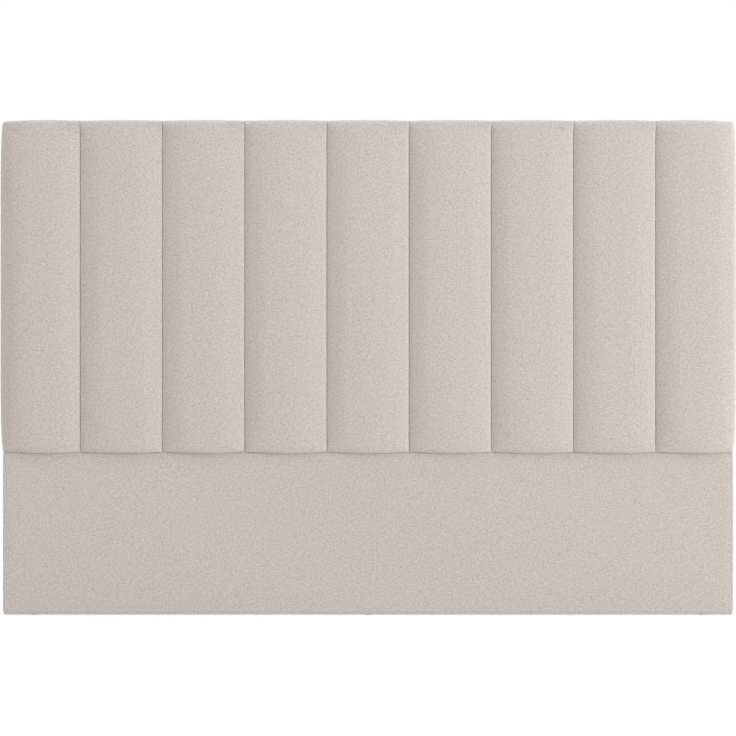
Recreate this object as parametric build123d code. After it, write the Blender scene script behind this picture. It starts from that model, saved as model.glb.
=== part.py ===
from build123d import *

import math
import os

# Upholstered floor-standing headboard with vertical padded channels above a plain padded panel.
# X runs along the width, the padded front faces -Y and +Z is up. The origin is on the floor,
# in the middle of the width and of the depth. Lengths are in millimetres.

# Overall size of the upholstery
cover_width = 1624.0
cover_height = 1100.0
ledge_height = 360.0
channel_count = 9
outer_channel_trim = 9.25

# Form of the padded channels
channel_crown = 26.0
shoulder_radius = 26.0
seam_angle = 62.0
outer_edge_radius = 14.0
channel_foot_radius = 14.0
channel_top_radius = 22.0
channel_sag = 4.5
top_dip = 1.2
side_bulge = 5.5
corner_radius = 8.0

# Form of the plain lower panel
lower_crown = 3.0
lower_setback = 0.3
lower_edge_radius = 8.0

# Layers, from the front to the back
cover_thickness = 1.2
ease = 0.3
seam_stand = 3.0
lining_thickness = 0.5
foam_thickness = 15.0
board_thickness = 8.0
frame_depth = 45.0
dust_cloth_thickness = 0.6

# Edges of the cover and of the dust cloth
edge_wadding_thickness = 5.5
cover_return = 45.0
dust_cloth_margin = 18.0

# Timber
batten_width = 45.0
upright_inset = 232.5
base_board_thickness = 12.0
corner_block_leg = 70.0
corner_block_depth = 30.0

# Wood screws
screw_ease = 0.1
frame_screw_length = 90.0
frame_screw_radius = 2.5
frame_screw_head_radius = 5.0
frame_screw_offset = 11.0
lap_screw_length = 35.0
board_screw_length = 25.0
board_screw_radius = 2.0
board_screw_head_radius = 4.0
board_screw_pitch = 240.0
base_screw_length = 35.0
base_screw_pitch = 300.0
base_screw_end_inset = 100.0

# Staples
staple_crown = 11.0
staple_leg = 9.0
staple_wire = 0.7
staple_width = 1.2
cover_staple_pitch = 55.0
cover_staple_inset = 34.0
dust_staple_pitch = 65.0
dust_staple_inset = 24.0

# Keyhole hanger plates, let into the backs of the uprights
hanger_drop = 150.0
hanger_width = 20.0
hanger_height = 64.0
hanger_thickness = 2.0
hanger_corner_radius = 3.0
hanger_screw_spacing = 52.0
hanger_screw_length = 18.0
hanger_screw_radius = 1.75
hanger_screw_head_radius = 3.4
keyhole_radius = 5.0
keyhole_slot_radius = 2.6
keyhole_rise = 13.0
keyhole_pocket_margin = 2.5
keyhole_pocket_depth = 11.0
hanger_cloth_margin = 1.0
recess_arm = 2.2
recess_width = 0.8
recess_depth = 1.1

# Threaded inserts for the brackets of a bed
insert_height = 120.0
insert_rise = 200.0
insert_radius = 6.0
insert_length = 18.0
insert_bore_radius = 3.4
insert_flange_radius = 8.0
insert_flange_thickness = 1.2
insert_cloth_hole_radius = 5.0
bolt_room_radius = 4.2
bolt_room_depth = 34.0

# Nailed glides under the base board
glide_radius = 7.0
glide_height = 1.6
glide_edge_radius = 0.5
glide_edge_gap = 2.0
glide_end_inset = 60.0
nail_radius = 1.0
nail_head_radius = 2.5
nail_head_thickness = 0.6
nail_head_recess = 0.3
nail_length = 13.0
nail_point = 2.0

# How far a cutting tool or an outline runs past what it cuts
overrun = 10.0

# Places worked out from the sizes
depth = (channel_crown + seam_stand + lining_thickness + foam_thickness + board_thickness + frame_depth
         + cover_thickness + dust_cloth_thickness + staple_wire)
half_width = cover_width / 2
skin = cover_thickness + ease
channel_pitch = (cover_width + 2 * outer_channel_trim) / channel_count
half_channel = channel_pitch / 2
last_seam = channel_pitch * (channel_count - 2) / 2
outer_peak = last_seam + half_channel

y_crown = -depth / 2
y_seam = y_crown + channel_crown
y_lower = y_seam + lower_setback
y_lining = y_seam + seam_stand
y_foam = y_lining + lining_thickness
y_board = y_foam + foam_thickness
y_frame = y_board + board_thickness
y_frame_middle = y_frame + frame_depth / 2
y_frame_back = y_frame + frame_depth
y_cover_back = y_frame_back + cover_thickness
y_dust_back = y_cover_back + dust_cloth_thickness

z_under = glide_height
z_base = z_under + cover_thickness
z_frame = z_base + base_board_thickness
z_ledge = z_under + ledge_height
z_top = z_under + cover_height
z_frame_top = z_top - skin - edge_wadding_thickness

half_frame = half_width - skin - edge_wadding_thickness
stile_x = half_frame - batten_width / 2
upright_x = stile_x - upright_inset
post_places = (-stile_x, -upright_x, upright_x, stile_x)
hanger_z = z_top - hanger_drop
insert_z = z_under + insert_height
base_front = y_lower + lower_edge_radius
half_base = half_width - corner_radius - ease

# A plane behind everything, where outlines are closed
y_behind = y_cover_back + overrun


def block(x0, x1, y0, y1, z0, z1):
    """A box between two corners."""
    return Pos((x0 + x1) / 2, (y0 + y1) / 2, (z0 + z1) / 2) * Box(x1 - x0, y1 - y0, z1 - z0)


def rod(radius, z0, z1):
    """A cylinder on the Z axis."""
    return extrude(Pos(0, 0, z0) * Circle(radius), amount=z1 - z0)


def from_plan(face, z0, z1):
    """A plan outline raised from one height to another."""
    return extrude(Pos(0, 0, z0) * face, amount=z1 - z0, dir=(0, 0, 1))


def from_side(face, x0, x1):
    """An outline drawn in depth and height, carried across the width."""
    return extrude(Pos(x0, 0, 0) * (Plane.YZ * face), amount=x1 - x0, dir=(1, 0, 0))


def from_front(face, y0, y1):
    """An outline drawn in width and height, carried through the depth."""
    return extrude(Pos(0, y0, 0) * (Plane.XZ * face), amount=y1 - y0, dir=(0, 1, 0))


def outline(*edges):
    return make_face(Wire(list(edges)))


def polygon(*points):
    return outline(*Polyline(*points, points[0]).edges())


def softened(face, *corners):
    """The face with a round at each corner that is given as a point and a radius."""
    for point, radius in corners:
        face = fillet(face.vertices().sort_by_distance(point)[0], radius)
    return face


def spread(start, end, pitch):
    """Even places from start to end, about a pitch apart."""
    steps = max(1, round((end - start) / pitch))
    return [start + (end - start) * i / steps for i in range(steps + 1)]


def mirrored(shape):
    """The same piece on the other side of the headboard."""
    return mirror(shape, about=Plane.YZ)


def group(shapes):
    return Compound(children=list(shapes))


def write(name, shape):
    export_step(shape, f"parts/{name}.step")


# The crown of a channel. A small shoulder arc leaves each seam, and one wide arc joins the shoulders.
seam_slope = math.radians(seam_angle)
shoulder_x = half_channel - shoulder_radius * math.sin(seam_slope)
shoulder_y = y_seam + shoulder_radius * math.cos(seam_slope)
shoulder_drop = channel_crown - shoulder_radius * (1 - math.cos(seam_slope))
crown_slope = 2 * math.atan(shoulder_drop / shoulder_x)
crown_radius = shoulder_radius + shoulder_x / math.sin(crown_slope)
crown_y = y_crown + crown_radius

# The outer edge of the end channels, which turns back into the side of the headboard. The front view
# shapes the side itself, a little inside this edge.
outer_x = half_width + side_bulge + ease
edge_x = outer_x - outer_edge_radius
outer_slope = math.asin((edge_x - outer_peak) / (crown_radius - outer_edge_radius))
edge_y = crown_y - (crown_radius - outer_edge_radius) * math.cos(outer_slope)


def arc_ahead(centre_x, centre_y, radius, start, end):
    """An arc in plan, whose angles turn from straight ahead, 0, towards +X."""
    def at(angle):
        return (centre_x + radius * math.sin(angle), centre_y - radius * math.cos(angle))
    return ThreePointArc(at(start), at((start + end) / 2), at(end))


def crown_to_seam(peak, side, inset):
    """The crown from its peak to the seam on one side, and the point where it meets the seam."""
    wide = arc_ahead(peak, crown_y, crown_radius - inset, 0, side * crown_slope)
    radius = shoulder_radius - inset
    slope = math.asin((half_channel - inset - shoulder_x) / radius)
    shoulder = arc_ahead(peak + side * shoulder_x, shoulder_y, radius, side * crown_slope, side * slope)
    return [wide, shoulder], (peak + side * (half_channel - inset), shoulder_y - radius * math.cos(slope))


def channel_plan(outer, inset):
    """Plan of an inner channel, centred on X = 0, or of the outer channel at the +X end."""
    peak = outer_peak if outer else 0
    left, left_end = crown_to_seam(peak, -1, inset)
    if outer:
        wide = arc_ahead(peak, crown_y, crown_radius - inset, 0, outer_slope)
        edge = arc_ahead(edge_x, edge_y, outer_edge_radius - inset, outer_slope, math.pi / 2)
        right, right_end = [wide, edge], (outer_x - inset, edge_y)
    else:
        right, right_end = crown_to_seam(peak, 1, inset)
    behind = Polyline(right_end, (right_end[0], y_behind), (left_end[0], y_behind), left_end)
    return outline(*left, *right, *behind.edges())


def channel_side_view(inset):
    """Depth and height of a channel, rounded at its foot and at its top."""
    front = y_crown + inset
    low = z_ledge - channel_sag + inset
    high = z_top - inset
    face = polygon((y_behind, low), (front, low), (front, high), (y_behind, high))
    foot = ((front, low), channel_foot_radius - inset)
    top = ((front, high), channel_top_radius - inset)
    return softened(face, foot, top)


def channel_sides(outer):
    return (last_seam, half_width) if outer else (-half_channel, half_channel)


def channel_front_view(outer, inset):
    """Width and height of a channel. It runs past its seams, and its foot sags and its top dips there."""
    left, right = channel_sides(outer)
    foot = z_ledge + inset
    head = z_top - top_dip - inset
    side = right - inset if outer else right
    middle = (left + side) / 2
    sag = ThreePointArc((left, foot), (middle, foot - channel_sag), (side, foot))
    rise = ThreePointArc((side, head), (middle, head + top_dip), (left, head))
    near = Polyline((left, head), (left - overrun, head), (left - overrun, foot), (left, foot))
    if outer:
        full = ThreePointArc((side, foot), (side + side_bulge, (foot + head) / 2), (side, head))
        face = outline(sag, full, rise, *near.edges())
        return softened(face, ((side, head), corner_radius - inset))
    far = Polyline((side, foot), (side + overrun, foot), (side + overrun, head), (side, head))
    return outline(sag, *far.edges(), rise, *near.edges())


def channel_form(outer, inset, back):
    """The space of one channel, shrunk by an inset, from its crown back to a plane."""
    left, right = channel_sides(outer)
    near = left - overrun
    far = right + side_bulge + overrun
    low = z_ledge - channel_sag - overrun
    form = from_plan(channel_plan(outer, inset), low, z_top + overrun)
    form &= from_side(channel_side_view(inset), near, far)
    form &= from_front(channel_front_view(outer, inset), y_crown - overrun, back)
    return form - block(near, far, y_seam - inset, y_behind, low, z_ledge + inset)


def channel_cover(outer):
    """A channel's cloth: its front, its seam allowances, its strap over the top and its return behind.
    The outer one covers the side as well."""
    left, right = channel_sides(outer)
    y_inside = y_cover_back - cover_thickness
    inside_x = right - cover_thickness if outer else right + overrun
    return_x = right - cover_return if outer else right + overrun
    low = z_ledge - overrun
    room = from_front(channel_front_view(outer, cover_thickness), y_lining, y_inside)
    room += block(left - overrun, inside_x, y_lining, y_inside, low, z_ledge + cover_thickness)
    opening = block(left - overrun, return_x, y_inside, y_behind, low, z_top - cover_return)
    cloth = channel_form(outer, 0, y_cover_back) - channel_form(outer, cover_thickness, y_lining)
    return cloth - room - opening


def lower_side_view(inset):
    """Depth and height of the plain panel, with its slight crown."""
    front = y_lower + inset
    low = z_under + inset
    high = z_ledge - inset
    crown = ThreePointArc((front, high), (front - lower_crown, (low + high) / 2), (front, low))
    rest = Polyline((front, low), (y_behind, low), (y_behind, high), (front, high))
    return outline(crown, *rest.edges())


def lower_front_view(inset):
    """Width and height of the plain panel, with its bottom corners rounded."""
    side = half_width - inset
    low = z_under + inset
    high = z_ledge - inset
    radius = corner_radius - inset
    face = polygon((-side, high), (-side, low), (side, low), (side, high))
    return softened(face, ((-side, low), radius), ((side, low), radius))


def lower_form(inset, back):
    """The space of the plain panel, shrunk by an inset, from its front back to a plane."""
    reach = half_width + overrun
    form = from_side(lower_side_view(inset), -reach, reach)
    form &= from_front(lower_front_view(inset), y_crown - overrun, y_behind)
    front = form.faces().sort_by(Axis.Y)[0]
    form = fillet(front.edges().sort_by(Axis.Z)[:-1], lower_edge_radius - inset)
    return form - block(-reach, reach, back, y_behind + overrun, z_under - overrun, z_ledge + overrun)


def lower_cover():
    """A tray of cloth: the front, the sides, the underside and the returns on the back."""
    y_inside = y_cover_back - cover_thickness
    inside_x = half_width - cover_thickness
    return_x = half_width - cover_return
    high = z_ledge + overrun
    mouth = block(-inside_x, inside_x, y_lining, y_inside, z_ledge - 2 * cover_thickness, high)
    opening = block(-return_x, return_x, y_inside, y_behind, z_under + cover_return, high)
    return lower_form(0, y_cover_back) - lower_form(cover_thickness, y_inside) - mouth - opening


def screw(length, radius, head_radius, recessed=False):
    """A countersunk screw on the Z axis, with its head's face at 0 and its point below."""
    sink = head_radius - radius
    profile = polygon((0, 0), (head_radius, 0), (radius, -sink), (radius, 2 * radius - length), (0, -length))
    body = revolve(Plane.XZ * profile, Axis.Z)
    if recessed:
        for turn in (0, 90):
            body -= Rot(0, 0, turn) * block(-recess_arm, recess_arm, -recess_width / 2, recess_width / 2,
                                            -recess_depth, overrun)
    return body


# How each screw's own Z axis, which its head faces, is turned
FACING_UP = Rot(0, 0, 0)
FACING_DOWN = Rot(180, 0, 0)
FACING_FRONT = Rot(90, 0, 0)
FACING_BACK = Rot(-90, 0, 0)
FACING_RIGHT = Rot(0, 90, 0)
FACING_LEFT = Rot(0, -90, 0)


def drive(shape, turn, places):
    """Copies of a fastener, turned one way and set at several places."""
    return [Pos(*place) * turn * shape for place in places]


def frame_screw_set(gap):
    """Long screws through the rails into the posts, and through the stiles into the middle rail."""
    shape = screw(frame_screw_length, frame_screw_radius + gap, frame_screw_head_radius + gap)
    offsets = (-frame_screw_offset, frame_screw_offset)
    ends = [(x, y_frame_middle + offset) for x in post_places for offset in offsets]
    across = [(y_frame_middle, z_ledge + offset) for offset in offsets]
    return (drive(shape, FACING_UP, [(x, y, z_frame_top) for x, y in ends])
            + drive(shape, FACING_DOWN, [(x, y, z_frame) for x, y in ends])
            + drive(shape, FACING_RIGHT, [(half_frame, y, z) for y, z in across])
            + drive(shape, FACING_LEFT, [(-half_frame, y, z) for y, z in across]))


def lap_screw_set(gap):
    shape = screw(lap_screw_length, frame_screw_radius + gap, frame_screw_head_radius + gap)
    return drive(shape, FACING_BACK, [(x, y_frame_back, z_ledge) for x in (-upright_x, upright_x)])


def board_screw_places(low, high):
    """Places around and across a front board, beside the middles of the posts and rails behind it."""
    aside = batten_width / 4
    columns = [-stile_x + aside, -upright_x + aside, upright_x - aside, stile_x - aside]
    rows = spread(low + aside, high - aside, board_screw_pitch)
    places = [(x, z) for x in columns for z in rows]
    for start, end in zip(columns, columns[1:]):
        between = spread(start, end, board_screw_pitch)[1:-1]
        places += [(x, z) for x in between for z in (rows[0], rows[-1])]
    return places


def board_screw_set(gap):
    shape = screw(board_screw_length, board_screw_radius + gap, board_screw_head_radius + gap)
    places = board_screw_places(z_frame, z_ledge) + board_screw_places(z_ledge, z_frame_top)
    return drive(shape, FACING_FRONT, [(x, y_board, z) for x, z in places])


def base_screw_set(gap):
    shape = screw(base_screw_length, board_screw_radius + gap, board_screw_head_radius + gap)
    reach = half_frame - base_screw_end_inset
    places = [(x, y_frame_middle, z_base) for x in spread(-reach, reach, base_screw_pitch)]
    return drive(shape, FACING_DOWN, places)


def hanger_screw_set(gap):
    shape = screw(hanger_screw_length, hanger_screw_radius + gap, hanger_screw_head_radius + gap, gap == 0)
    offset = hanger_screw_spacing / 2
    heights = (hanger_z - offset, hanger_z + offset)
    return drive(shape, FACING_BACK, [(x, y_frame_back, z) for x in (-upright_x, upright_x) for z in heights])


def keyhole(grow, y0, y1):
    """The hole for a screw's head and the slot over it, through a plane at the back, on X = 0."""
    z = hanger_z - keyhole_rise / 2
    hole = Pos(0, z) * Circle(keyhole_radius + grow)
    slot = Pos(0, z + keyhole_rise) * Circle(keyhole_slot_radius + grow)
    neck = Pos(0, z + keyhole_rise / 2) * Rectangle(2 * (keyhole_slot_radius + grow), keyhole_rise)
    return from_front(hole + slot + neck, y0, y1)


def hanger_plate():
    y_face = y_frame_back - hanger_thickness
    face = Pos(0, hanger_z) * RectangleRounded(hanger_width, hanger_height, hanger_corner_radius)
    return from_front(face, y_face, y_frame_back) - keyhole(0, y_face - overrun, y_frame_back + overrun)


def hanger_recess():
    """What is cut from an upright for a hanger plate and for the head of the wall's screw."""
    y_face = y_frame_back - hanger_thickness
    face = Pos(0, hanger_z) * RectangleRounded(hanger_width, hanger_height, hanger_corner_radius)
    pocket = keyhole(keyhole_pocket_margin, y_face - keyhole_pocket_depth, y_frame_back + overrun)
    return from_front(face, y_face, y_frame_back + overrun) + pocket


def insert_places():
    return [(x, y_frame_back, z) for x in (-upright_x, upright_x) for z in (insert_z, insert_z + insert_rise)]


def threaded_insert():
    """An insert on the Z axis, its flange above 0."""
    body = rod(insert_radius, -insert_length, 0) + rod(insert_flange_radius, 0, insert_flange_thickness)
    return body - rod(insert_bore_radius, -insert_length, overrun)


def insert_room():
    """The bore that an insert sits in, and the room behind it for the end of a bolt."""
    return (rod(insert_radius + screw_ease, -insert_length, overrun)
            + rod(bolt_room_radius, -bolt_room_depth, 0))


def glide_places():
    reach = half_frame - glide_end_inset
    inset = glide_edge_gap + glide_radius
    return [(x, y, 0) for x in (-reach, 0, reach) for y in (base_front + inset, y_frame_back - inset)]


def glide():
    disc = rod(glide_radius, 0, glide_height)
    disc = fillet(disc.edges().group_by(Axis.Z)[0], glide_edge_radius)
    return disc - nail(screw_ease) - rod(nail_head_radius + screw_ease, 0, nail_head_recess)


def nail(gap):
    """A glide's nail, driven up from the glide's underside."""
    z_head = nail_head_recess + nail_head_thickness
    z_point = z_head + nail_length - nail_point
    head = rod(nail_head_radius + gap, nail_head_recess, z_head)
    shank = rod(nail_radius + gap, z_head, z_point)
    return head + shank + Pos(0, 0, z_point + nail_point / 2) * Cone(nail_radius + gap, 0, nail_point)


def staple():
    """A staple on the X axis, its crown's outer face at Y = 0 and its legs towards -Y."""
    reach = staple_crown / 2
    half = staple_width / 2
    bridge = block(-reach, reach, -staple_wire, 0, -half, half)
    leg = block(reach - staple_wire, reach, -staple_leg, 0, -half, half)
    return bridge + leg + mirrored(leg)


def staples_round(inset, pitch, y_face):
    """Staples along the four edges of the back, each in line with its edge."""
    reach = half_width - inset
    low = z_under + inset
    high = z_top - inset
    level = staple()
    upright = Rot(0, 90, 0) * level
    across = spread(staple_crown - reach, reach - staple_crown, pitch)
    up = spread(low + staple_crown, high - staple_crown, pitch)
    rows = [Pos(x, y_face, z) * level for z in (low, high) for x in across]
    return rows + [Pos(x, y_face, z) * upright for x in (-reach, reach) for z in up]


def rail(low):
    return block(-half_frame, half_frame, y_frame, y_frame_back, low, low + batten_width)


def post(x):
    half = batten_width / 2
    foot = z_frame + batten_width
    return block(x - half, x + half, y_frame, y_frame_back, foot, z_frame_top - batten_width)


def upright(x):
    """An inner post, halved in front for the middle rail."""
    half = batten_width / 2
    return post(x) - block(x - half, x + half, y_frame, y_frame_middle, z_ledge - half, z_ledge + half)


def middle_rail():
    """A rail between the stiles, halved behind for the uprights."""
    half = batten_width / 2
    reach = half_frame - batten_width
    body = block(-reach, reach, y_frame, y_frame_back, z_ledge - half, z_ledge + half)
    for x in (-upright_x, upright_x):
        body -= block(x - half, x + half, y_frame_middle, y_frame_back, z_ledge - half, z_ledge + half)
    return body


def corner_blocks():
    """Glued triangular blocks in the four corners between the stiles and the outer rails."""
    x = half_frame - batten_width
    low = z_frame + batten_width
    high = z_frame_top - batten_width
    y0 = y_frame_middle - corner_block_depth / 2
    blocks = []
    for z, way in ((low, 1), (high, -1)):
        face = polygon((x, z), (x - corner_block_leg, z), (x, z + way * corner_block_leg))
        wedge = from_front(face, y0, y0 + corner_block_depth)
        blocks += [wedge, mirrored(wedge)]
    return blocks


def side_wadding():
    """The wadding over a stile, fuller beside the channels, as the cover there is."""
    beside = block(half_frame, half_width + side_bulge, y_lining, y_frame_back, z_frame, z_top)
    full = channel_form(True, skin, y_frame_back) & beside
    straight = lower_form(skin, y_frame_back) & beside
    return full + straight + block(half_frame, half_width - skin, y_board, y_frame_back,
                                   z_ledge - skin, z_ledge + skin)


def top_wadding():
    return block(-half_frame, half_frame, y_lining, y_frame_back, z_frame_top, z_top - top_dip - skin)


def lower_pad():
    """The foam of the plain panel, which rests on the base board and laps over its front edge."""
    front = lower_form(skin, y_lining)
    behind = block(-half_frame, half_frame, y_lining, y_board, z_frame, z_ledge - skin)
    base = block(-half_width, half_width, base_front, y_board, z_under, z_frame)
    return front + behind - base


def dust_cloth():
    reach = half_width - dust_cloth_margin
    low = z_under + dust_cloth_margin
    cloth = block(-reach, reach, y_cover_back, y_dust_back, low, z_top - dust_cloth_margin)
    window = Pos(0, hanger_z) * Rectangle(hanger_width + 2 * hanger_cloth_margin,
                                          hanger_height + 2 * hanger_cloth_margin)
    for x in (-upright_x, upright_x):
        cloth -= Pos(x, 0, 0) * from_front(window, y_cover_back - overrun, y_dust_back + overrun)
    hole = rod(insert_cloth_hole_radius, -overrun, overrun)
    return cut(cloth, drive(hole, FACING_BACK, insert_places()))


def cut(body, tools):
    """The body less each tool that reaches into it."""
    box = body.bounding_box()
    near = [tool for tool in tools if box.overlaps(tool.bounding_box())]
    return body.cut(*near) if near else body


def build():
    """Every sub-part by its name."""
    timber_holes = (frame_screw_set(screw_ease) + lap_screw_set(screw_ease) + board_screw_set(screw_ease)
                    + base_screw_set(screw_ease) + hanger_screw_set(screw_ease)
                    + drive(insert_room(), FACING_BACK, insert_places())
                    + drive(nail(screw_ease), FACING_UP, glide_places())
                    + [Pos(x, 0, 0) * hanger_recess() for x in (-upright_x, upright_x)])
    frame = {
        "top_rail": rail(z_frame_top - batten_width),
        "middle_rail": middle_rail(),
        "bottom_rail": rail(z_frame),
        "left_stile": post(-stile_x),
        "right_stile": post(stile_x),
        "left_upright": upright(-upright_x),
        "right_upright": upright(upright_x),
        "upper_board": block(-half_frame, half_frame, y_board, y_frame, z_ledge, z_frame_top),
        "lower_board": block(-half_frame, half_frame, y_board, y_frame, z_frame, z_ledge),
        "base_board": block(-half_base, half_base, base_front, y_frame_back, z_base, z_frame),
    }
    parts = {name: cut(body, timber_holes) for name, body in frame.items()}
    parts["corner_blocks"] = group(corner_blocks())

    parts["base_foam"] = block(-half_frame, half_frame, y_foam, y_board, z_ledge, z_frame_top)
    parts["channel_lining"] = block(-half_frame, half_frame, y_lining, y_foam, z_ledge, z_frame_top)
    parts["lower_pad"] = lower_pad()
    parts["top_wadding"] = top_wadding()
    parts["right_side_wadding"] = side_wadding()
    parts["left_side_wadding"] = mirrored(parts["right_side_wadding"])

    pad = channel_form(False, skin, y_lining)
    cover = channel_cover(False)
    for number in range(2, channel_count):
        x = (number - (channel_count + 1) / 2) * channel_pitch
        parts[f"channel_pad_{number}"] = Pos(x, 0, 0) * pad
        parts[f"channel_cover_{number}"] = Pos(x, 0, 0) * cover
    pad = channel_form(True, skin, y_lining)
    cover = channel_cover(True)
    parts["channel_pad_1"] = mirrored(pad)
    parts["channel_cover_1"] = mirrored(cover)
    parts[f"channel_pad_{channel_count}"] = pad
    parts[f"channel_cover_{channel_count}"] = cover
    parts["lower_cover"] = cut(lower_cover(), drive(nail(screw_ease), FACING_UP, glide_places()))
    parts["dust_cloth"] = dust_cloth()

    parts["left_hanger_plate"] = cut(Pos(-upright_x, 0, 0) * hanger_plate(), hanger_screw_set(screw_ease))
    parts["right_hanger_plate"] = cut(Pos(upright_x, 0, 0) * hanger_plate(), hanger_screw_set(screw_ease))
    parts["frame_screws"] = group(frame_screw_set(0))
    parts["lap_screws"] = group(lap_screw_set(0))
    parts["board_screws"] = group(board_screw_set(0))
    parts["base_board_screws"] = group(base_screw_set(0))
    parts["hanger_screws"] = group(hanger_screw_set(0))
    parts["threaded_inserts"] = group(drive(threaded_insert(), FACING_BACK, insert_places()))
    parts["glides"] = group(drive(glide(), FACING_UP, glide_places()))
    parts["glide_nails"] = group(drive(nail(0), FACING_UP, glide_places()))
    parts["cover_staples"] = group(staples_round(cover_staple_inset, cover_staple_pitch, y_cover_back))
    parts["dust_cloth_staples"] = group(staples_round(dust_staple_inset, dust_staple_pitch,
                                                      y_dust_back + staple_wire))
    return parts


os.makedirs("parts", exist_ok=True)
for name, shape in build().items():
    write(name, shape)
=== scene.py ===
import math
import random

import bmesh
import bpy
import numpy as np
from bpy.props import FloatProperty, FloatVectorProperty, PointerProperty
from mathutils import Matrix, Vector


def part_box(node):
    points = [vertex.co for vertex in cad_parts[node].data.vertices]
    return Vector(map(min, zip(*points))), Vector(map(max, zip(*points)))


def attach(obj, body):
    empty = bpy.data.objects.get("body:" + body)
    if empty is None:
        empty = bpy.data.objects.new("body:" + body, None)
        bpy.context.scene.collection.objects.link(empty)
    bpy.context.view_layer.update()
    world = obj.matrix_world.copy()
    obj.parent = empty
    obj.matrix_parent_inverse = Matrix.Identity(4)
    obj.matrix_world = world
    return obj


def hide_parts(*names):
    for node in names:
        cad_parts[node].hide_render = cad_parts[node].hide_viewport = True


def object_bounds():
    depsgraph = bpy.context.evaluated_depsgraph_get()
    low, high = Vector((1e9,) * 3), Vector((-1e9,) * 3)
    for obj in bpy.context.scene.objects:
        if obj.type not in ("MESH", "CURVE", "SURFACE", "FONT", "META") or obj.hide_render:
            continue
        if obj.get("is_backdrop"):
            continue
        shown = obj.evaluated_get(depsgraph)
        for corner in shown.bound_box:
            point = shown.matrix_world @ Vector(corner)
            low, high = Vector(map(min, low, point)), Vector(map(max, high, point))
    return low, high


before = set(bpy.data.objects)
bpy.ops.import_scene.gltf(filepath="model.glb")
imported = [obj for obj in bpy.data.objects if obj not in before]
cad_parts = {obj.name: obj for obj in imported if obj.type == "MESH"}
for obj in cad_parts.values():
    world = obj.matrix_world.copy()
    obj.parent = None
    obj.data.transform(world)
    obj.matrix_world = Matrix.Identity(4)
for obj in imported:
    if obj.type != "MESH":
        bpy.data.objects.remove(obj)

bl_info = {
    "name": "Channelled headboard",
    "version": (1, 0, 0),
    "blender": (4, 5, 0),
    "location": "3D View > Sidebar > Headboard",
    "description": "Covers, fillings, cloths and finishes for an upholstered headboard with padded channels",
    "category": "Object",
}

# Lengths are in metres. Everything is placed from the boxes of the construction's own pieces.
MM = 0.001
TINY = MM / 1000
FULL_TURN = 2 * math.pi
QUARTER_TURN = math.pi / 2
CAD_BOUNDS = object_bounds()

CHANNEL_COUNT = sum(name.startswith("channel_cover_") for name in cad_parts)
MIDDLE_CHANNEL = (CHANNEL_COUNT + 1) // 2
MIDDLE_LOW, MIDDLE_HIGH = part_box(f"channel_cover_{MIDDLE_CHANNEL}")
LOWER_LOW, LOWER_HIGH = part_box("lower_cover")
FOAM_LOW, FOAM_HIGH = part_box("base_foam")
LINING_LOW, LINING_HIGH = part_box("channel_lining")
CLOTH_LOW, CLOTH_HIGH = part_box("dust_cloth")
BOARD_LOW, BOARD_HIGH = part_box("base_board")

# How far the ledge stands over the foot of the base foam, the gap between the plain panel and the channels'
# feet, and the gap that a filling keeps from what is behind and beside it
LEDGE_LIFT = 1.6 * MM
LEDGE_GAP = 0.4 * MM
SHY = 0.1 * MM

PITCH = MIDDLE_HIGH.x - MIDDLE_LOW.x
HALF_CHANNEL = PITCH / 2
LAST_SEAM = PITCH * (CHANNEL_COUNT - 2) / 2
OUTER_PEAK = LAST_SEAM + HALF_CHANNEL
HALF_WIDTH = LOWER_HIGH.x
CROWN_Y = MIDDLE_LOW.y
BACK_Y = MIDDLE_HIGH.y
LEDGE_Z = FOAM_LOW.z + LEDGE_LIFT
TOP_Z = MIDDLE_HIGH.z
UNDER_Z = LOWER_LOW.z


def distance(name, description, default):
    """A length that a user can change."""
    return FloatProperty(name=name, description=description, default=default, unit="LENGTH", precision=4)


def amount(name, description, default):
    """A plain number that a user can change."""
    return FloatProperty(name=name, description=description, default=default)


def colour(name, description, red, green, blue):
    """A colour that a user can change, given by its sRGB levels."""
    levels = [linear(level) for level in (red, green, blue)]
    return FloatVectorProperty(name=name, description=description, default=levels, subtype="COLOR", size=3)


def linear(level):
    """The linear value of an sRGB level from 0 to 255."""
    share = level / 255
    return share / 12.92 if share <= 0.04045 else ((share + 0.055) / 1.055) ** 2.4


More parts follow.
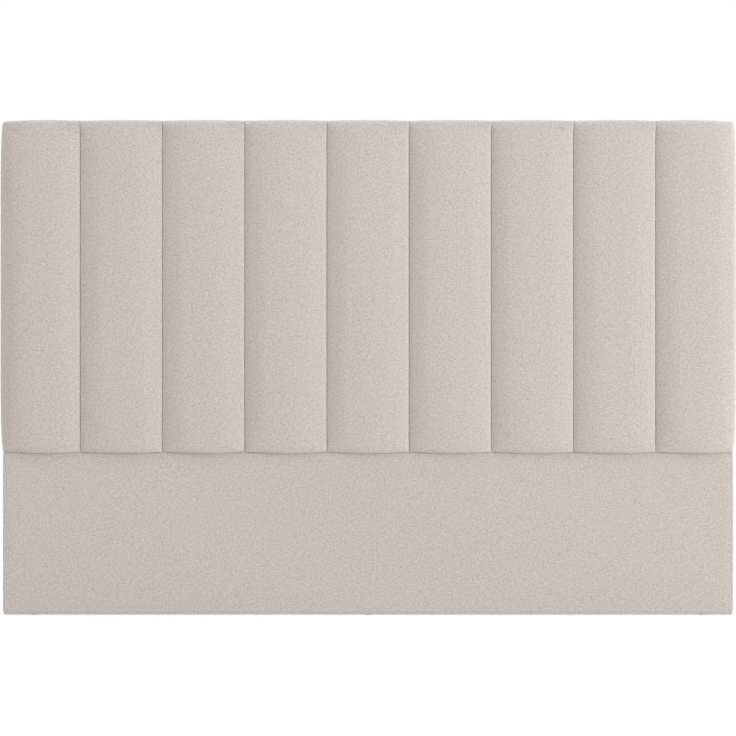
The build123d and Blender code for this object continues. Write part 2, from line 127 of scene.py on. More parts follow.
class ChannelSettings(bpy.types.PropertyGroup):
    crown: distance("Crown", "How far a channel stands out from its seams", 26 * MM)
    fullness: amount("Fullness", "Power of the crown's curve: smaller is squarer", 0.52)
    cut_fullness: amount("Cut fullness", "Fullness before the simulation swells the cover", 0.486)
    outer_radius: distance("Outer crown radius", "Radius of the end channels' outer half", 223 * MM)
    edge_radius: distance("Edge radius", "Round at the headboard's two sides", 14 * MM)
    foot_radius: distance("Foot radius", "Round at a channel's foot", 14 * MM)
    nip_radius: distance("Nip radius", "Round of the foot beside a seam", 1.5 * MM)
    top_radius: distance("Top radius", "Round at the top edge", 10 * MM)
    plain_top: distance("Plain top", "Height at the top over which the grooves run out", 24 * MM)
    shallow_reach: distance("Shallow reach", "How far down from the top the grooves stay shallower", 45 * MM)
    shallow_share: amount("Shallow share", "How much shallower the grooves are near the top", 0.25)
    top_drop: distance("Top drop", "How far the stuffed top lies under its cut size", 2.8 * MM)
    sag: distance("Sag", "How far a foot sags in its middle", 3.7 * MM)
    dip: distance("Dip", "How far the top dips at a seam", 1.2 * MM)
    side_bulge: distance("Side bulge", "How far the sides stand out at mid height", 5.2 * MM)
    corner: distance("Corner radius", "Round at the two top corners, seen from the front", 8 * MM)
    tuck: distance("Tuck", "Depth of the cloth that turns into a seam", 3 * MM)
    seam_gap: distance("Seam gap", "Half the hairline between two channels", 0.14 * MM)
    swell: distance("Swell", "The most that the stuffing pushes the cloth out", 2 * MM)
    held: distance("Held width", "Width beside a seam over which stitches hold the swelling back", 45 * MM)
    waviness: distance("Waviness", "Slow unevenness of the stuffing", 0.5 * MM)
    puckers: distance("Puckers", "Small pulls in the cloth beside the seams", 0.12 * MM)


class PanelSettings(bpy.types.PropertyGroup):
    crown: distance("Crown", "How far the plain panel stands out in its middle", 3 * MM)
    edge_radius: distance("Edge radius", "Round at the panel's sides and bottom", 5 * MM)
    nip_radius: distance("Nip radius", "Round at the panel's top, under the channels", 4 * MM)
    foot_height: distance("Foot height", "Height over which the panel rounds off at its bottom", 15 * MM)
    swell: distance("Swell", "The most that the stuffing pushes the cloth out", 2 * MM)


class ClothSettings(bpy.types.PropertyGroup):
    cover: distance("Cover cloth", "Thickness of the cover's cloth", 1.2 * MM)
    ease: distance("Ease", "Room between a filling and its cover", 0.3 * MM)
    cover_return: distance("Return", "Width of the cover behind the frame", 45 * MM)
    thread: distance("Thread pitch", "Distance between two threads of the weave", 1.15 * MM)
    cover_colour: colour("Cover colour", "Mean colour of the cover's weave", 203, 195, 188)
    foam_colour: colour("Foam colour", "Colour of the foam", 240, 230, 198)
    wadding_colour: colour("Wadding colour", "Colour of the wadding", 238, 238, 235)
    lining_colour: colour("Lining colour", "Colour of the lining under the channels", 226, 222, 212)
    dust_cloth_colour: colour("Dust cloth colour", "Colour of the cloth behind the frame", 40, 40, 42)


class StageSettings(bpy.types.PropertyGroup):
    camera_distance: distance("Camera distance", "From the camera to the panel", 6.0)
    frame_width: distance("Frame width", "What the frame takes in at the panel", 1.6347)
    camera_x: distance("Camera x", "Side shift of the camera", -0.3 * MM)
    camera_z: distance("Camera height", "Height of the camera over the floor", 549.3 * MM)
    key_power: amount("Key power", "Watts of the lamp at the right", 278)
    front_power: amount("Front power", "Watts of the wide lamp in front", 90)
    back_power: amount("Back power", "Watts of the lamp over the back", 8)
    sky: amount("Sky", "Strength of the light from all round", 1.05)
    overhead: amount("Overhead", "The sky's strength overhead, as a share of that at the horizon", 0.6)
    floor_level: amount("Floor level", "Reflectance of the floor", 0.45)
    floor_glow: amount("Floor glow", "How much the floor is brightened for the camera alone", 0.67)


# Counts of faces along the width, the depth and the height of a channel's grid, and the rows and columns of
# its rounded foot, top and side edge
COLUMNS = 32
LAYERS = 10
ROWS = 112
CHANNEL_COUNTS = (COLUMNS, LAYERS, ROWS)
FOOT_ROWS = 6
TOP_ROWS = 9
EDGE_COLUMNS = 6

# How closely the columns crowd towards a seam, as an angle under a quarter turn
BUNCHING = 1.42

# What a cover keeps of its closed shape: layers of its seam sides and of its foot, columns of the foot at the
# outer side, and rows of the seam sides at the top
TUCKED_LAYERS = 3
TUCKED_COLUMNS = 3
STRAP_ROWS = 3

# Small sizes of a channel: the top one of the parts of its plain top has no groove at all, the grooves lose a
# share of their depth just over the foot, and the foot's rounding grows with the depth ahead of the seam
PLAIN_PARTS = 6
FOOT_SHARE = 0.12
FOOT_REACH = 15 * MM
FOOT_GROWTH = 0.6

# The least depths of the tucked cloth and of a layer, and the gap in front of a seam and of the lining
LEAST_TUCK = 0.4 * MM
LEAST_LAYER = 0.2 * MM
NIP_GAP = 0.3 * MM

# The higher the power, the flatter the middle of the sides' bulge. A side is rounded off along this share of
# a quarter circle at its top corner, and again over this height at its foot.
BULGE_POWER = 8
SQUEEZE_SHARE = 0.97
SIDE_FOOT = 2.5 * MM


def grid_box(columns, layers, rows):
    """A closed box of square grids from -1 to 1 each way, and its corners as an array."""
    grid = bmesh.new()
    bmesh.ops.create_cube(grid, size=2)
    for axis, count in enumerate((columns, layers, rows)):
        along = [edge for edge in grid.edges if abs(edge.verts[0].co[axis] - edge.verts[1].co[axis]) > 1]
        bmesh.ops.subdivide_edges(grid, edges=along, cuts=count - 1, use_grid_fill=True)
    grid.verts.ensure_lookup_table()
    return grid, np.array([vert.co for vert in grid.verts])


def move(grid, points):
    """Puts each corner of a grid at its place."""
    for vert, point in zip(grid.verts, points):
        vert.co = point


def turned(start, end, steps):
    """How far a step, counted along the grid, has gone from one step to another, from 0 to 1."""
    return np.clip((steps - start) / (end - start), 0, 1)


def eased(share):
    """A share from 0 to 1 that starts and stops gently."""
    return share * share * (3 - 2 * share)


def layered(unit, front, stops):
    """Depths of the grid's layers: the first few at set places, the rest evenly to the last place."""
    layer = (unit[:, 1] + 1) / 2 * LAYERS
    depth = last = front
    for number, stop in enumerate(stops):
        end = LAYERS if number == len(stops) - 1 else number + 1
        depth = depth + (stop - last) * turned(number, end, layer)
        last = stop
    return depth


def groove_depth(z, form):
    """How deep the grooves are at a height, from 0 at the top edge to 1."""
    from_top = TOP_Z - form.top_drop - z
    plain = form.plain_top / PLAIN_PARTS
    run_out = np.clip((from_top - plain) / (form.plain_top * (PLAIN_PARTS - 1) / PLAIN_PARTS), 0, 1)
    shallow = 1 - form.shallow_share * np.exp(-from_top / form.shallow_reach)
    drawn_in = 1 - FOOT_SHARE * np.exp(-np.maximum(z - LEDGE_Z, 0) / FOOT_REACH)
    return eased(run_out) * shallow * drawn_in


def outer_half(x, form):
    """Depth of the end channel's outer half, whose crown is one arc that runs into a rounded edge."""
    centre_y = CROWN_Y + form.outer_radius
    return centre_y - np.sqrt(np.maximum(form.outer_radius ** 2 - (x - OUTER_PEAK) ** 2, 0))


def inner_plan(across, form, crown, fullness):
    """Width and depth of an inner channel's face, and the place across it from -1 to 1."""
    x = HALF_CHANNEL * np.sin(across * BUNCHING) / math.sin(BUNCHING)
    share = x / HALF_CHANNEL
    front = CROWN_Y + form.crown - crown * np.maximum(1 - share ** 2, 0) ** fullness
    return x, front, share


def outer_plan(across, form, crown, fullness):
    """The same of the outer channel at the +X end, whose face bends round an edge into its side."""
    column = (across + 1) / 2 * COLUMNS
    edge_x = HALF_WIDTH + form.side_bulge - form.edge_radius
    inner_radius = form.outer_radius - form.edge_radius
    slope = math.asin((edge_x - OUTER_PEAK) / inner_radius)
    edge_y = CROWN_Y + form.outer_radius - inner_radius * math.cos(slope)
    join_x = edge_x + form.edge_radius * math.sin(slope)
    go = turned(0, COLUMNS - EDGE_COLUMNS, column)
    bend = slope + turned(COLUMNS - EDGE_COLUMNS, COLUMNS, column) * (QUARTER_TURN - slope)
    x = join_x - (join_x - LAST_SEAM) * np.sin(BUNCHING * (1 - go)) / math.sin(BUNCHING)
    share = (x - OUTER_PEAK) / HALF_CHANNEL
    rise = crown * np.maximum(1 - share ** 2, 0) ** fullness
    front = np.where(x < OUTER_PEAK, CROWN_Y + form.crown - rise, outer_half(x, form) + form.crown - crown)
    bent = bend > slope
    x = np.where(bent, edge_x + form.edge_radius * np.sin(bend), x)
    front = np.where(bent, edge_y - form.edge_radius * np.cos(bend) + form.crown - crown, front)
    return x, front, np.clip(2 * (x - LAST_SEAM) / (HALF_WIDTH - LAST_SEAM) - 1, -1, 1)


def channel_depths(unit, front, form):
    """Depths of a channel's layers: its face, the tucked cloth, the nip at the seam and the room behind."""
    seam_y = CROWN_Y + form.crown
    halfway = front + np.maximum(np.minimum(form.tuck, (seam_y - front) / 2), LEAST_TUCK)
    nip = np.maximum(seam_y - NIP_GAP, halfway + LEAST_LAYER)
    inside = np.maximum(nip + LEAST_LAYER, LINING_LOW.y - NIP_GAP)
    return layered(unit, front, [halfway, nip, inside, BACK_Y])


def channel_points(unit, form, outer, crown, fullness):
    """The shape of one channel: an inner one on X = 0, or the outer one at the +X end."""
    across, _, height = unit.T
    seam_y = CROWN_Y + form.crown
    row = (height + 1) / 2 * ROWS
    foot = (1 - turned(0, FOOT_ROWS, row)) * QUARTER_TURN
    top = turned(ROWS - TOP_ROWS, ROWS, row) * QUARTER_TURN
    middle = turned(FOOT_ROWS, ROWS - TOP_ROWS, row)
    plan = outer_plan if outer else inner_plan
    x, front, share = plan(across, form, crown, fullness)
    low = LEDGE_Z - form.sag * (1 - share ** 2)
    high = TOP_Z - form.top_drop - form.dip * share ** 2
    round_foot = np.clip(form.nip_radius + FOOT_GROWTH * (seam_y - front), form.nip_radius, form.foot_radius)
    z = (low + round_foot * (1 - np.sin(foot)) + middle * (high - form.top_radius - low - round_foot)
         + form.top_radius * np.sin(top))
    crown_y = seam_y - crown
    front = np.where(x < OUTER_PEAK, crown_y + (front - crown_y) * groove_depth(z, form), front)
    front = front + form.top_radius * (1 - np.cos(top)) + round_foot * (1 - np.cos(foot))
    if outer:
        x = outer_side(x, z, low, high, form)
    else:
        x = x * (HALF_CHANNEL - form.seam_gap) / HALF_CHANNEL
    return np.column_stack([x, channel_depths(unit, front, form), z])


def side_bulge(z, form):
    """How far the sides stand out at a height."""
    level = (2 * z - LEDGE_Z - TOP_Z) / (TOP_Z - LEDGE_Z)
    return form.side_bulge * np.maximum(1 - level ** BULGE_POWER, 0)


def outer_side(x, z, low, high, form):
    """The outer side of an end channel, which stands out at mid height and is drawn in at both ends."""
    shortfall = form.side_bulge - side_bulge(z, form)
    reach = (x - LAST_SEAM) / (HALF_WIDTH + form.side_bulge - LAST_SEAM)
    x = x - shortfall * np.clip(reach, 0, 1) ** 2
    side = HALF_WIDTH + form.side_bulge - shortfall
    for radius, rounding in ((form.corner, (z - high + form.corner) / form.corner),
                             (SIDE_FOOT, (low + SIDE_FOOT - z) / SIDE_FOOT)):
        squeeze = np.sqrt(1 - (SQUEEZE_SHARE * np.clip(rounding, 0, 1)) ** 2)
        start = side - radius
        x = np.where(x > start, start + (x - start) * squeeze, x)
    return LAST_SEAM + form.seam_gap + (x - LAST_SEAM) * (1 - form.seam_gap / (HALF_WIDTH - LAST_SEAM))


# Frames that the swelling cloth takes to settle
SETTLING_FRAMES = 20


def swollen(name, grid, points, free, cap):
    """The points after a cloth simulation swells the closed grid. Only free points move, up to the cap."""
    mesh = bpy.data.meshes.new(name)
    grid.to_mesh(mesh)
    body = bpy.data.objects.new(name, mesh)
    bpy.context.scene.collection.objects.link(body)
    pins = body.vertex_groups.new(name="pinned")
    pins.add([int(index) for index in np.flatnonzero(~free)], 1.0, "REPLACE")
    cloth = body.modifiers.new("Cloth", "CLOTH")
    cloth.settings.quality = 4
    cloth.settings.mass = 0.3
    cloth.settings.use_pressure = True
    cloth.settings.uniform_pressure_force = 4
    cloth.settings.vertex_group_mass = "pinned"
    cloth.settings.effector_weights.gravity = 0
    cloth.collision_settings.use_collision = False
    cloth.point_cache.frame_start = 1
    cloth.point_cache.frame_end = SETTLING_FRAMES
    for step in range(1, SETTLING_FRAMES + 1):
        bpy.context.scene.frame_set(step)
    shown = body.evaluated_get(bpy.context.evaluated_depsgraph_get())
    after = np.array([vert.co for vert in shown.data.vertices])
    bpy.data.objects.remove(body)
    bpy.data.meshes.remove(mesh)
    bpy.context.scene.frame_set(1)
    push = np.where(free[:, None], after - points, 0)
    length = np.linalg.norm(push, axis=1, keepdims=True)
    return points + push * np.minimum(1, cap / np.maximum(length, TINY))


def crowned(points, seam_y, crown):
    """The points with all that is ahead of the seams scaled, so that the highest is at the crown's height."""
    ahead = np.maximum(seam_y - points[:, 1], 0)
    points[:, 1] = np.where(ahead > 0, seam_y - ahead * crown / ahead.max(), points[:, 1])
    return points


def settled_channel(form, outer):
    """A channel's unit corners and its stuffed shape, with its crown as high as it is cut for."""
    grid, unit = grid_box(*CHANNEL_COUNTS)
    seam_y = CROWN_Y + form.crown
    points = channel_points(unit, form, outer, form.crown - form.swell, form.cut_fullness)
    move(grid, points)
    sewn = unit[:, 0] < MM - 1 if outer else np.abs(unit[:, 0]) > 1 - MM
    free = (points[:, 1] < seam_y - MM) & ~sewn
    stuffed = swollen("channel_in_work", grid, points, free, form.swell)
    from_seam = points[:, 0] - LAST_SEAM if outer else HALF_CHANNEL - np.abs(points[:, 0])
    points += (stuffed - points) * np.clip(from_seam / form.held, 0, 1)[:, None]
    grid.free()
    return unit, crowned(points, seam_y, form.crown)


# The stuffing's slow waves and the pulls beside the seams: their lengths, strengths, lean and starts
WAVE_COUNT = 3
WAVE_STRENGTHS = (0.4, 1)
WAVE_LENGTHS = (0.22, 0.62)
WAVE_LEANS = (-2, 2)
STARTS = (0, 6.28)
PULL_LENGTHS = (17 * MM, 23 * MM, 41 * MM)
PULL_REACH = 11 * MM


def uneven(points, form, centre, number):
    """Slow unevenness of the stuffing and small pulls beside the seams, different for each channel."""
    chance = random.Random(number)
    x, y, z = points.T
    share = np.clip((x - centre) / HALF_CHANNEL, -1, 1)
    wave = sum(chance.uniform(*WAVE_STRENGTHS) * np.sin(FULL_TURN * z / chance.uniform(*WAVE_LENGTHS)
                                                        + chance.uniform(*STARTS)
                                                        + chance.uniform(*WAVE_LEANS) * share)
               for _ in range(WAVE_COUNT))
    pull = sum(np.sin(FULL_TURN * z / length + chance.uniform(*STARTS)) for length in PULL_LENGTHS)
    beside = np.exp(-(1 - np.abs(share)) * HALF_CHANNEL / PULL_REACH)
    ahead = np.clip((CROWN_Y + form.crown - y) / form.crown, 0, 1)
    push = form.waviness * wave * ahead ** 2 + form.puckers * pull * beside * np.minimum(1, 4 * ahead)
    return np.column_stack([x, y - push, z])


def grid_index(unit, counts):
    """The place of each corner in its grid, as whole numbers."""
    return np.rint((unit + 1) / 2 * np.array(counts)).astype(int)


def side_of(face, index, counts):
    """The axis and the end of the box that a face lies on."""
    places = index[[vert.index for vert in face.verts]]
    for axis in (1, 2, 0):
        for end in (0, counts[axis]):
            if (places[:, axis] == end).all():
                return axis, end, places
    raise RuntimeError("a face lies inside the box")


def arc_lengths(points, index, counts):
    """For each axis, how far each corner is along the surface from the near end of its grid line."""
    where = {tuple(place): number for number, place in enumerate(index)}
    lengths = np.zeros((len(points), 3))
    for axis in range(3):
        order = np.argsort(index[:, axis], kind="stable")
        for number in order:
            place = list(index[number])
            if place[axis] == 0:
                continue
            place[axis] -= 1
            before = where.get(tuple(place))
            if before is not None:
                step = np.linalg.norm(points[number] - points[before])
                lengths[number, axis] = lengths[before, axis] + step
    return lengths


def lay_weave(grid, points, index, counts, shift):
    """A UV map in metres that follows the surface, so that the threads keep their size round each edge."""
    lengths = arc_lengths(points, index, counts)
    weave = grid.loops.layers.uv.new("weave")
    for face in grid.faces:
        axis, end, _ = side_of(face, index, counts)
        for loop in face.loops:
            along = lengths[loop.vert.index]
            if axis == 1:
                place = (along[0], along[2])
            elif axis == 2:
                place = (along[0], along[1] if end else -along[1])
            else:
                place = (along[1] if end else -along[1], along[2])
            loop[weave].uv = (place[0] + shift, place[1] + shift / 3)


def drop_faces(grid, index, counts, keep):
    """Deletes the faces that keep() turns down, with what only they used."""
    away = []
    for face in grid.faces:
        axis, end, places = side_of(face, index, counts)
        if not keep(axis, end, places.mean(axis=0), face.calc_center_median()):
            away.append(face)
    bmesh.ops.delete(grid, geom=away, context="FACES")


def flip_over(grid):
    """Mirrors a grid to the other side of the headboard."""
    bmesh.ops.scale(grid, vec=(-1, 1, 1), verts=grid.verts)
    bmesh.ops.reverse_faces(grid, faces=grid.faces)


def finished(name, grid, material, replaced):
    """Makes a grid an object at the origin that rides on the headboard and replaces a plain solid."""
    mesh = bpy.data.meshes.new(name)
    grid.to_mesh(mesh)
    grid.free()
    mesh.shade_smooth()
    mesh.materials.append(material)
    piece = bpy.data.objects.new(name, mesh)
    bpy.context.scene.collection.objects.link(piece)
    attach(piece, "root")
    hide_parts(replaced)
    return piece


def soften(piece):
    """A subdivision that looks the same while modelling and in the render."""
    finer = piece.modifiers.new("Subdivision", "SUBSURF")
    finer.levels = 1
    finer.render_levels = 1


def thicken(piece, thickness):
    """Gives a sheet its thickness, inwards from its outer face."""
    wall = piece.modifiers.new("Solidify", "SOLIDIFY")
    wall.thickness = thickness
    wall.offset = -1
    wall.use_even_offset = True


def add_node(tree, kind, inputs=None, **options):
    """A new node with its options set. Each input gets a value, or a link from another node's output."""
    made = tree.nodes.new(kind)
    for option, value in options.items():
        setattr(made, option, value)
    for socket, source in (inputs or {}).items():
        if isinstance(source, bpy.types.NodeSocket):
            tree.links.new(source, made.inputs[socket])
        else:
            made.inputs[socket].default_value = source
    return made


def new_material(name):
    """A new material with nodes, and its node tree."""
    material = bpy.data.materials.new(name)
    material.use_nodes = True
    return material, material.node_tree


class Finish:
    """A material in the making: a surface shader and the nodes that feed it."""

    def __init__(self, name, base, roughness, metallic=0.0, **constants):
        self.material, self.tree = new_material(name)
        self.surface = self.tree.nodes["Principled BSDF"]
        self.set("Base Color", (*base, 1))
        self.set("Roughness", roughness)
        self.set("Metallic", metallic)
        for socket, value in constants.items():
            self.set(socket.replace("_", " ").title().replace("Ior", "IOR"), value)

    def set(self, socket, value):
        self.surface.inputs[socket].default_value = value

    def feed(self, socket, source):
        """Links an output to an input of the surface."""
        self.tree.links.new(source, self.surface.inputs[socket])

    def object_place(self):
        return add_node(self.tree, "ShaderNodeTexCoord").outputs["Object"]

    def weave_place(self):
        return add_node(self.tree, "ShaderNodeUVMap", uv_map="weave").outputs["UV"]

    def stretched(self, place, scale, turn=(0, 0, 0)):
        inputs = {"Vector": place, "Scale": scale, "Rotation": turn}
        return add_node(self.tree, "ShaderNodeMapping", inputs).outputs["Vector"]

    def split(self, place):
        return add_node(self.tree, "ShaderNodeSeparateXYZ", {0: place}).outputs

    def math(self, operation, *values):
        """The result of one operation, worked out for each point of the surface."""
        inputs = dict(enumerate(values))
        return add_node(self.tree, "ShaderNodeMath", inputs, operation=operation).outputs["Value"]

    def times(self, first, second):
        return self.math("MULTIPLY", first, second)

    def mean(self, first, second):
        return self.times(self.math("ADD", first, second), 0.5)

    def either(self, chosen, first, second):
        """The first value where chosen is 1, and the second where it is 0."""
        other = self.math("SUBTRACT", 1.0, chosen)
        return self.math("ADD", self.times(chosen, first), self.times(other, second))

    def noise(self, place, scale=1.0, detail=2.0, roughness=0.5):
        inputs = {"Vector": place, "Scale": scale, "Detail": detail, "Roughness": roughness}
        return add_node(self.tree, "ShaderNodeTexNoise", inputs).outputs["Fac"]

    def cells(self, place, scale=1.0, randomness=1.0):
        """The distance to the nearest of scattered points, and that point's colour."""
        inputs = {"Vector": place, "Scale": scale, "Randomness": randomness}
        made = add_node(self.tree, "ShaderNodeTexVoronoi", inputs, feature="F1")
        return made.outputs["Distance"], made.outputs["Color"]

    def ramp(self, factor, low, high):
        """A smooth value between two stops, each a place and a level."""
        (start, bottom), (stop, top) = low, high
        inputs = {"Value": factor, "From Min": start, "From Max": stop, "To Min": bottom, "To Max": top}
        made = add_node(self.tree, "ShaderNodeMapRange", inputs, interpolation_type="SMOOTHSTEP")
        return made.outputs["Result"]

    def blend(self, factor, first, second):
        """A mix of two colours, each a colour of three levels or an output."""
        inputs = {"Factor": factor}
        for socket, value in ((6, first), (7, second)):
            inputs[socket] = value if isinstance(value, bpy.types.NodeSocket) else (*value, 1)
        return add_node(self.tree, "ShaderNodeMix", inputs, data_type="RGBA").outputs[2]

    def mottled(self, factor, start, stop, base, dark, light):
        """A colour that goes from a darker to a lighter shade of its base while the factor grows."""
        return self.blend(self.ramp(factor, (start, 0.0), (stop, 1.0)), shade(base, dark), shade(base, light))

    def paint(self, source):
        self.feed("Base Color", source)

    def relief(self, height, depth, strength):
        """Bump of a real depth in metres."""
        inputs = {"Height": height, "Distance": depth, "Strength": strength}
        self.feed("Normal", add_node(self.tree, "ShaderNodeBump", inputs).outputs["Normal"])


def shade(base, factor):
    """A darker or lighter colour."""
    return tuple(min(level * factor, 1) for level in base)


# Flecks and slubs of the weave: how they are stretched, their shade, which turns them too, and their rarity
FLECKS = (
    ((430, 150, 1), 0.68, 0.93),
    ((150, 430, 1), 0.72, 0.94),
    ((150, 470, 1), 1.2, 0.9),
    ((470, 150, 1), 1.2, 0.9),
)

# Scales of the noise that tints each thread: across it, along it and off the cloth
THREAD_STRETCH = (780, 95, 1)


def cover_weave(cloth):
    """The melange weave: warp and weft threads of uneven colour, slubs, flecks, and painted shade in their
    gaps.
    """
    base = tuple(cloth.cover_colour)
    finish = Finish("cover_weave", base, 0.92, sheen_weight=0.3, sheen_roughness=0.5,
                    specular_ior_level=0.25, diffuse_roughness=1.0)
    place = finish.weave_place()
    across, up, _ = finish.split(place)
    turn = math.pi / cloth.thread
    warp_wave = finish.math("SINE", finish.times(across, turn))
    weft_wave = finish.math("SINE", finish.times(up, turn))
    over = finish.math("GREATER_THAN", finish.times(warp_wave, weft_wave), 0.0)
    thread = finish.either(over, finish.math("ABSOLUTE", warp_wave), finish.math("ABSOLUTE", weft_wave))
    cross, along, off = THREAD_STRETCH
    warp_tone = finish.noise(finish.stretched(place, (cross, along, off)), roughness=0.6)
    weft_tone = finish.noise(finish.stretched(place, (along, cross, off)), roughness=0.6)
    tone = finish.mean(finish.either(over, warp_tone, weft_tone), finish.mean(warp_tone, weft_tone))
    mottle = finish.noise(place, 290)
    tone = finish.math("MULTIPLY_ADD", mottle, 0.55, finish.times(tone, 0.45))
    mixed = finish.mottled(tone, 0.3, 0.7, base, 0.79, 1.21)
    for scale, level, rarity in FLECKS:
        near, tint = finish.cells(finish.stretched(place, scale, (0, 0, level)))
        chosen = finish.ramp(finish.split(tint)[0], (rarity, 0.0), (rarity + 0.03, 1.0))
        fleck = finish.times(chosen, finish.ramp(near, (0.2, 1.0), (0.5, 0.0)))
        mixed = finish.blend(finish.times(fleck, 0.8), mixed, shade(base, level))
    # Painted shade: the gaps between the threads are darkened, standing in for the shade that falls between
    # them
    painted_gap_shade = finish.ramp(thread, (0.0, 0.35), (0.55, 0.0))
    finish.paint(finish.blend(painted_gap_shade, mixed, shade(base, 0.72)))
    finish.relief(finish.math("MULTIPLY_ADD", tone, 0.6, thread), 0.16 * MM, 0.35)
    return finish.material


def foam_finish(cloth):
    """Open-cell foam: a pale ground with small pores, darkened with painted shade."""
    base = tuple(cloth.foam_colour)
    finish = Finish("foam", base, 0.95)
    place = finish.object_place()
    near, _ = finish.cells(place, 700)
    pores = finish.ramp(near, (0.1, 1.0), (0.5, 0.0))
    ground = finish.mottled(finish.noise(place, 14, detail=3), 0.3, 0.7, base, 0.94, 1.03)
    # Painted shade: the pores are darkened, standing in for the shade inside the open cells
    finish.paint(finish.blend(finish.times(pores, 0.6), ground, shade(base, 0.7)))
    finish.relief(near, 0.4 * MM, 0.5)
    return finish.material


def wadding_finish(cloth):
    """Fibre wadding: soft, matted and slightly uneven in tone."""
    base = tuple(cloth.wadding_colour)
    finish = Finish("wadding", base, 1.0, sheen_weight=0.3, sheen_roughness=0.6)
    place = finish.object_place()
    fibres = finish.noise(finish.stretched(place, (600, 600, 120), (0.5, 0.3, 0.7)), detail=4, roughness=0.7)
    clumps = finish.noise(place, 45, detail=3)
    finish.paint(finish.mottled(finish.mean(fibres, clumps), 0.35, 0.65, base, 0.86, 1.04))
    finish.relief(fibres, 0.8 * MM, 0.5)
    return finish.material


def bonded_cloth(name, base, pitch, strength):
    """Spun-bonded cloth: matted fibres with a grid of small pressed spots."""
    finish = Finish(name, base, 0.8, sheen_weight=0.08, specular_ior_level=0.3)
    place = finish.object_place()
    near, _ = finish.cells(finish.stretched(place, (1 / pitch, 0, 1 / pitch), (0, 0.78, 0)), randomness=0.0)
    spots = finish.ramp(near, (0.2, 1.0), (0.38, 0.0))
    fibres = finish.noise(finish.stretched(place, (420, 1, 420)), detail=5, roughness=0.75)
    tone = finish.mean(fibres, finish.noise(place, 18, detail=3))
    ground = finish.mottled(tone, 0.35, 0.65, base, 1 - strength, 1 + strength)
    finish.paint(finish.blend(finish.times(spots, 0.5), ground, shade(base, 1 - 1.4 * strength)))
    finish.relief(finish.math("MULTIPLY_ADD", spots, -0.7, fibres), 0.12 * MM, 0.6)
    return finish.material


def pine_finish(name, scale):
    """Planed pine whose grain runs along the axis with the small scale."""
    pale, deep = (0.72, 0.50, 0.28), (0.52, 0.30, 0.13)
    finish = Finish(name, pale, 0.62, specular_ior_level=0.35)
    place = finish.object_place()
    bands = finish.noise(finish.stretched(place, scale), detail=3)
    late = finish.ramp(finish.math("FRACT", finish.times(bands, 9.0)), (0.45, 0.0), (0.98, 1.0))
    fine = tuple(9 * level for level in scale)
    pores = finish.noise(finish.stretched(place, fine), 2.0, detail=4, roughness=0.7)
    wood = finish.blend(finish.times(late, 0.7), pale, deep)
    finish.paint(finish.blend(finish.ramp(pores, (0.58, 0.0), (0.75, 0.4)), wood, shade(deep, 0.7)))
    finish.relief(finish.math("MULTIPLY_ADD", late, 0.5, pores), 0.12 * MM, 0.5)
    return finish.material


# Thickness of one veneer of the plywood
VENEER = 1.35 * MM


def plywood_finish(name, through):
    """Birch plywood. Through is the axis of its thickness, 1 for depth and 2 for height."""
    pale, deep, glue = (0.66, 0.49, 0.30), (0.50, 0.33, 0.17), (0.22, 0.13, 0.07)
    finish = Finish(name, pale, 0.6, specular_ior_level=0.3)
    place = finish.object_place()
    normal = finish.split(add_node(finish.tree, "ShaderNodeNewGeometry").outputs["True Normal"])
    flat = finish.ramp(finish.math("ABSOLUTE", normal[through]), (0.6, 0.0), (0.8, 1.0))
    figure = finish.noise(finish.stretched(place, (3, 60, 60)), detail=4, roughness=0.6)
    veneer = finish.blend(finish.ramp(figure, (0.35, 0.0), (0.65, 1.0)), pale, deep)
    ply = finish.times(finish.split(place)[through], math.pi / VENEER)
    lines = finish.ramp(finish.math("ABSOLUTE", finish.math("SINE", ply)), (0.0, 1.0), (0.25, 0.0))
    pores = finish.noise(finish.stretched(place, (300, 300, 300)), detail=3)
    edge = finish.blend(finish.times(lines, 0.7), finish.blend(pores, shade(pale, 0.85), deep), glue)
    finish.paint(finish.blend(flat, edge, veneer))
    finish.relief(figure, 0.1 * MM, 0.4)
    return finish.material


def metal_finish(name, base, roughness, streak):
    """Plated steel with faint rubbing along its length and small stains."""
    finish = Finish(name, base, roughness, metallic=1.0)
    place = finish.object_place()
    rubbed = finish.noise(finish.stretched(place, streak), detail=3, roughness=0.6)
    stains = finish.noise(place, 160, detail=4, roughness=0.65)
    finish.paint(finish.blend(finish.ramp(stains, (0.4, 0.0), (0.75, 1.0)), base, shade(base, 0.72)))
    finish.feed("Roughness", finish.ramp(rubbed, (0.3, roughness - 0.08), (0.7, roughness + 0.14)))
    finish.relief(rubbed, 0.03 * MM, 0.4)
    return finish.material


def nylon_finish():
    """Moulded nylon, dulled a little where it slides."""
    base = (0.80, 0.79, 0.76)
    finish = Finish("glide_nylon", base, 0.42, subsurface_weight=0.05, specular_ior_level=0.45)
    worn = finish.noise(finish.object_place(), 240, detail=4, roughness=0.7)
    finish.paint(finish.blend(finish.ramp(worn, (0.45, 0.0), (0.75, 0.5)), base, shade(base, 0.8)))
    finish.relief(worn, 0.05 * MM, 0.5)
    return finish.material


def dress(material, *names):
    """Gives construction pieces their finish."""
    for name in names:
        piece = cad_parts[name]
        piece.data.materials.clear()
        piece.data.materials.append(material)


def material_once(name, make, *values):
    """The material of that name, made when it is first asked for."""
    found = bpy.data.materials.get(name)
    return found if found else make(*values)


# The settled shapes, kept so that a cover and its filling share one
SETTLED = {}


def channel_grid(form, outer):
    """A fresh grid of the stuffed channel, with its corners' unit places and its shape."""
    if outer not in SETTLED:
        SETTLED[outer] = settled_channel(form, outer)
    grid, _ = grid_box(*CHANNEL_COUNTS)
    return (grid, *SETTLED[outer])


def each_channel(form):
    """Each channel's number, whether it is an outer one, a fresh grid, its unit corners and its shape."""
    for number in range(1, CHANNEL_COUNT + 1):
        outer = number in (1, CHANNEL_COUNT)
        grid, unit, points = channel_grid(form, outer)
        yield number, outer, grid, unit, uneven(points, form, OUTER_PEAK if outer else 0, number)


